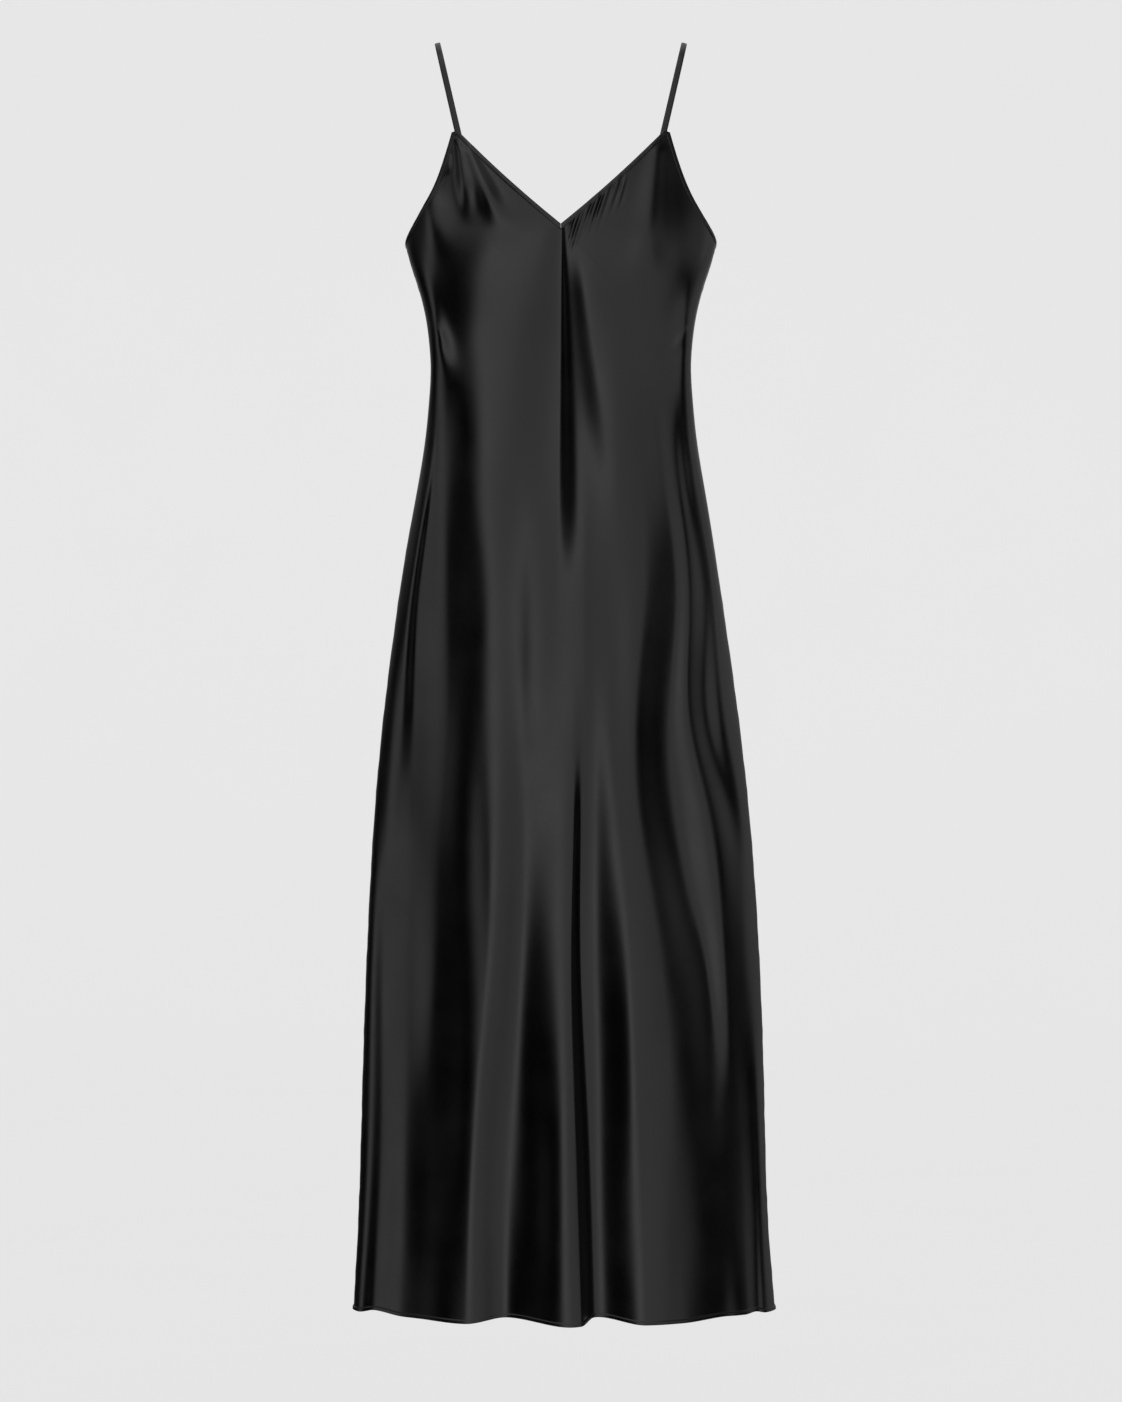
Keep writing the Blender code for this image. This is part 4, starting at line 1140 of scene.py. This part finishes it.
def strap(name, side, trim, material):
    """A folded strap along its line, sunk along the stitches in its middle."""
    points, across_way, out_way = strap_line(side, trim)
    across, out = folded_section(STRAP_SQUARE, STRAP_GROOVE)
    wide = (across - 0.5)[None, :, None] * trim.strap_width
    high = out[None, :, None] * trim.strap_thickness / 2
    loops = points[:, None] + across_way[:, None] * wide + out_way[:, None] * high
    made = tube(name, loops, material, strip_uvs(run_along(points), trim.strap_width))
    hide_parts(name.replace("satin_", ""))
    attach(made, BODY)
    return made


class SLIPDRESS_OT_straps(bpy.types.Operator):
    """Run the two straps from the strap points over the shoulders to the back's top edge"""

    bl_idname = "slipdress.straps"
    bl_label = "Straps"

    def execute(self, context):
        satin = satin_material("satin_strap", context.scene.slip_satin, 0.0, STRAP_DULLER)
        strap("satin_strap_right", -1, context.scene.slip_trim, satin)
        strap("satin_strap_left", 1, context.scene.slip_trim, satin)
        return {"FINISHED"}


# ---------------------------------------------------------------- stitches


def stitch_tree(name):
    """Geometry nodes that lay stitches end to end along every edge path they are given."""
    tree = bpy.data.node_groups.new(name, "GeometryNodeTree")
    sides = tree.interface
    sides.new_socket("Geometry", in_out="INPUT", socket_type="NodeSocketGeometry")
    for label in ("Length", "Pitch", "Thread"):
        sides.new_socket(label, in_out="INPUT", socket_type="NodeSocketFloat")
    sides.new_socket("Material", in_out="INPUT", socket_type="NodeSocketMaterial")
    sides.new_socket("Geometry", in_out="OUTPUT", socket_type="NodeSocketGeometry")

    def add(kind, settings=None, links=None):
        node = tree.nodes.new(kind)
        for key, value in (settings or {}).items():
            setattr(node, key, value)
        for key, value in (links or {}).items():
            if isinstance(value, bpy.types.NodeSocket):
                tree.links.new(value, node.inputs[key])
            else:
                node.inputs[key].default_value = value
        return node

    given = add("NodeGroupInput").outputs
    path = add("GeometryNodeMeshToCurve", None, {"Mesh": given["Geometry"]})
    spread = add(
        "GeometryNodeResampleCurve", {"mode": "LENGTH"},
        {"Curve": path.outputs["Curve"], "Length": given["Pitch"]},
    )
    spots = add("GeometryNodeCurveToPoints", {"mode": "EVALUATED"}, {"Curve": spread.outputs["Curve"]})
    half = add("ShaderNodeMath", {"operation": "MULTIPLY"}, {0: given["Length"], 1: 0.5})
    thin = add("ShaderNodeMath", {"operation": "MULTIPLY"}, {0: given["Thread"], 1: 0.5})
    bead = add("GeometryNodeMeshUVSphere", None, {"Segments": 6, "Rings": 5, "Radius": 1.0})
    size = add(
        "ShaderNodeCombineXYZ", None,
        {"X": thin.outputs[0], "Y": thin.outputs[0], "Z": half.outputs[0]},
    )
    laid = add(
        "GeometryNodeInstanceOnPoints", None,
        {
            "Points": spots.outputs["Points"],
            "Instance": bead.outputs["Mesh"],
            "Rotation": spots.outputs["Rotation"],
            "Scale": size.outputs["Vector"],
        },
    )
    real = add("GeometryNodeRealizeInstances", None, {"Geometry": laid.outputs["Instances"]})
    done = add(
        "GeometryNodeSetMaterial", None,
        {"Geometry": real.outputs["Geometry"], "Material": given["Material"]},
    )
    add("NodeGroupOutput", None, {"Geometry": done.outputs["Geometry"]})
    return tree


def sew(name, paths, settings, material, tree):
    """Stitches along each path of points, as one plain mesh."""
    points = np.concatenate(paths)
    edges, start = [], 0
    for path in paths:
        edges += [(start + i, start + i + 1) for i in range(len(path) - 1)]
        start += len(path)
    mesh = bpy.data.meshes.new(name + "_path")
    mesh.from_pydata(points.tolist(), edges, [])
    guide = bpy.data.objects.new(name + "_path", mesh)
    bpy.context.scene.collection.objects.link(guide)
    laying = guide.modifiers.new("stitches", "NODES")
    laying.node_group = tree
    given = {
        "Length": settings.length,
        "Pitch": settings.pitch,
        "Thread": settings.thread,
        "Material": material,
    }
    for item in tree.interface.items_tree:
        if item.item_type == "SOCKET" and item.in_out == "INPUT" and item.name in given:
            laying[item.identifier] = given[item.name]
    bpy.context.view_layer.update()
    seen = guide.evaluated_get(bpy.context.evaluated_depsgraph_get())
    sewn = bpy.data.meshes.new_from_object(seen)
    sewn.name = name
    sewn.shade_smooth()
    bpy.data.objects.remove(guide)
    made = bpy.data.objects.new(name, sewn)
    bpy.context.scene.collection.objects.link(made)
    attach(made, BODY)
    return made


def hem_path(half, cloth):
    """A line on the outside of the cloth, just under the top of the rolled hem."""
    shares = np.linspace(-HEM_STITCH_END, HEM_STITCH_END, HEM_STITCH_STATIONS)
    heights = hem_height(half, shares) + cloth.roll_depth * HEM_STITCH_PLACE
    lift = cloth.roll_thickness / 2 + HEM_STITCH_LIFT
    return half.at(shares, heights) + half.normals(shares, heights) * lift


class SLIPDRESS_OT_stitches(bpy.types.Operator):
    """Sew the hem, the bindings and the straps"""

    bl_idname = "slipdress.stitches"
    bl_label = "Stitches"

    def execute(self, context):
        scene = context.scene
        cloth, trim, settings = scene.slip_cloth, scene.slip_trim, scene.slip_stitch
        thread = thread_material("sewing_thread", scene.slip_satin)
        tree = stitch_tree("lay_stitches")
        hem = [hem_path(half, cloth) for half in (front, back)]
        sew("hem_stitches", hem, settings, thread, tree)
        lift = trim.binding_thickness / 2 * BINDING_STITCH_LIFT
        edges = bound_edges(trim.binding_width).values()
        row = BINDING_GROOVE[0]
        lines = [beside(band, row, face * lift) for band in edges for face in (-1, 1)]
        sew("binding_stitches", lines, settings, thread, tree)
        lift = trim.strap_thickness / 2 * STRAP_STITCH_LIFT
        lines = []
        for side in (-1, 1):
            points, _, out = strap_line(side, trim)
            lines += [points + out * (face * lift) for face in (-1, 1)]
        sew("strap_stitches", lines, settings, thread, tree)
        return {"FINISHED"}


# ---------------------------------------------------------------- stage


def studio_light(name, settings):
    """Light from large soft panels that stand round the dress, as tall as the room."""
    nodes = Nodes(bpy.data.worlds.new(name), "Background")
    way = nodes.add("ShaderNodeTexCoord")
    apart = nodes.add("ShaderNodeSeparateXYZ", None, {0: way})
    x, y, z = (Socket(nodes, apart.output.node.outputs[i]) for i in range(3))
    turn = nodes.add("ShaderNodeMath", {"operation": "ARCTAN2"}, {0: x, 1: 0 - y}) * (180 / math.pi)
    total = settings.room
    for start, end, start_soft, end_soft, level in PANELS:
        up = turn.rising(start - start_soft, start + start_soft)
        down = turn.rising(end - end_soft, end + end_soft)
        total = up * (1 - down) * level + total
    for start, end, bottom, top in SIDE_FILLS:
        around = turn.rising(*start) * (1 - turn.rising(*end))
        total = around * (z.rising(*bottom) * (1 - z.rising(*top))) * SIDE_FILL + total
    low = z.rising(*LOW_RISE) * (1 - LOW_LEVEL) + LOW_LEVEL
    high = z.rising(*OVERHEAD_RISE)
    above = turn.rising(*OVERHEAD_START) * (1 - turn.rising(*OVERHEAD_END)) * OVERHEAD
    back_side = turn.rising(*BEHIND_TURN) + (0 - turn).rising(*BEHIND_TURN)
    above = above + back_side * BEHIND
    high = high + back_side * (z.rising(*BEHIND_RISE) - high)
    zenith = z.rising(*ZENITH_RISE) * ZENITH
    level = total * low * (1 - high) + high * above + zenith
    return nodes.surface(Color=(1, 1, 1, 1), Strength=level)


def set_camera(scene, settings):
    """A long lens straight in front of the middle of the dress."""
    camera = bpy.data.objects.new("camera", bpy.data.cameras.new("camera"))
    scene.collection.objects.link(camera)
    camera.data.sensor_width = CAMERA_SENSOR
    camera.data.lens = CAMERA_SENSOR * settings.distance / settings.framed_height
    camera.location = (CAMERA_X, -settings.distance, CAMERA_Z)
    camera.rotation_euler = (math.pi / 2, 0, 0)
    camera.data.clip_end = CAMERA_REACH
    scene.camera = camera


def pale_floor(settings):
    """A round floor that turns up into a wall. Only the camera sees it, not the satin."""
    turn = np.linspace(0, math.pi / 2, STAGE_STEPS)
    curve = STAGE_FLAT + STAGE_CORNER * np.sin(turn)
    radius = np.concatenate([[STAGE_HUB, STAGE_FLAT / 2], curve, [STAGE_FLAT + STAGE_CORNER]])
    height = np.concatenate([[0, 0], STAGE_CORNER * (1 - np.cos(turn)), [STAGE_TOP]])
    around = np.linspace(0, 2 * math.pi, STAGE_SIDES, endpoint=False)
    x, y = radius[:, None] * np.cos(around), radius[:, None] * np.sin(around)
    points = np.stack([x, y, np.broadcast_to(height[:, None] + STAGE_FLOOR_Z, x.shape)], axis=-1)
    index = np.arange(x.size).reshape(x.shape)
    faces = skin_round(index)[:, [0, 3, 2, 1]].tolist() + [index[0].tolist()]
    material = stage_material("pale_floor", settings.pale)
    floor = add_mesh("pale_floor", points.reshape(-1, 3), faces, material)
    floor.visible_glossy = False
    floor.visible_diffuse = False


class SLIPDRESS_OT_stage(bpy.types.Operator):
    """Set the pale floor, the soft light and the camera"""

    bl_idname = "slipdress.stage"
    bl_label = "Stage"

    def execute(self, context):
        scene, settings = context.scene, context.scene.slip_stage
        set_camera(scene, settings)
        pale_floor(settings)
        scene.world = studio_light("studio", settings)
        scene.view_settings.view_transform = "Standard"
        return {"FINISHED"}


# ---------------------------------------------------------------- the sidebar


class SLIPDRESS_PT_sidebar(bpy.types.Panel):
    """Every setting, and a button for each group of pieces"""

    bl_label = "Slip Dress"
    bl_idname = "SLIPDRESS_PT_sidebar"
    bl_space_type = "VIEW_3D"
    bl_region_type = "UI"
    bl_category = "Slip Dress"

    def draw(self, context):
        for name in SETTINGS:
            box = self.layout.box()
            group = getattr(context.scene, name)
            for key in group.bl_rna.properties.keys():
                if key not in ("rna_type", "name"):
                    box.prop(group, key)
        for operator in OPERATORS:
            self.layout.operator(operator.bl_idname)


SETTINGS = {
    "slip_satin": SatinSettings,
    "slip_cloth": ClothSettings,
    "slip_trim": TrimSettings,
    "slip_stitch": StitchSettings,
    "slip_stage": StageSettings,
}
OPERATORS = (
    SLIPDRESS_OT_stage,
    SLIPDRESS_OT_front,
    SLIPDRESS_OT_back,
    SLIPDRESS_OT_bindings,
    SLIPDRESS_OT_straps,
    SLIPDRESS_OT_stitches,
)


def register():
    for kind in (*SETTINGS.values(), *OPERATORS, SLIPDRESS_PT_sidebar):
        bpy.utils.register_class(kind)
    for name, kind in SETTINGS.items():
        setattr(bpy.types.Scene, name, bpy.props.PointerProperty(type=kind))


def unregister():
    for name in SETTINGS:
        delattr(bpy.types.Scene, name)
    for kind in (SLIPDRESS_PT_sidebar, *OPERATORS[::-1], *list(SETTINGS.values())[::-1]):
        bpy.utils.unregister_class(kind)


def main():
    register()
    for operator in OPERATORS:
        group, name = operator.bl_idname.split(".")
        getattr(getattr(bpy.ops, group), name)()


if __name__ == "__main__":
    main()
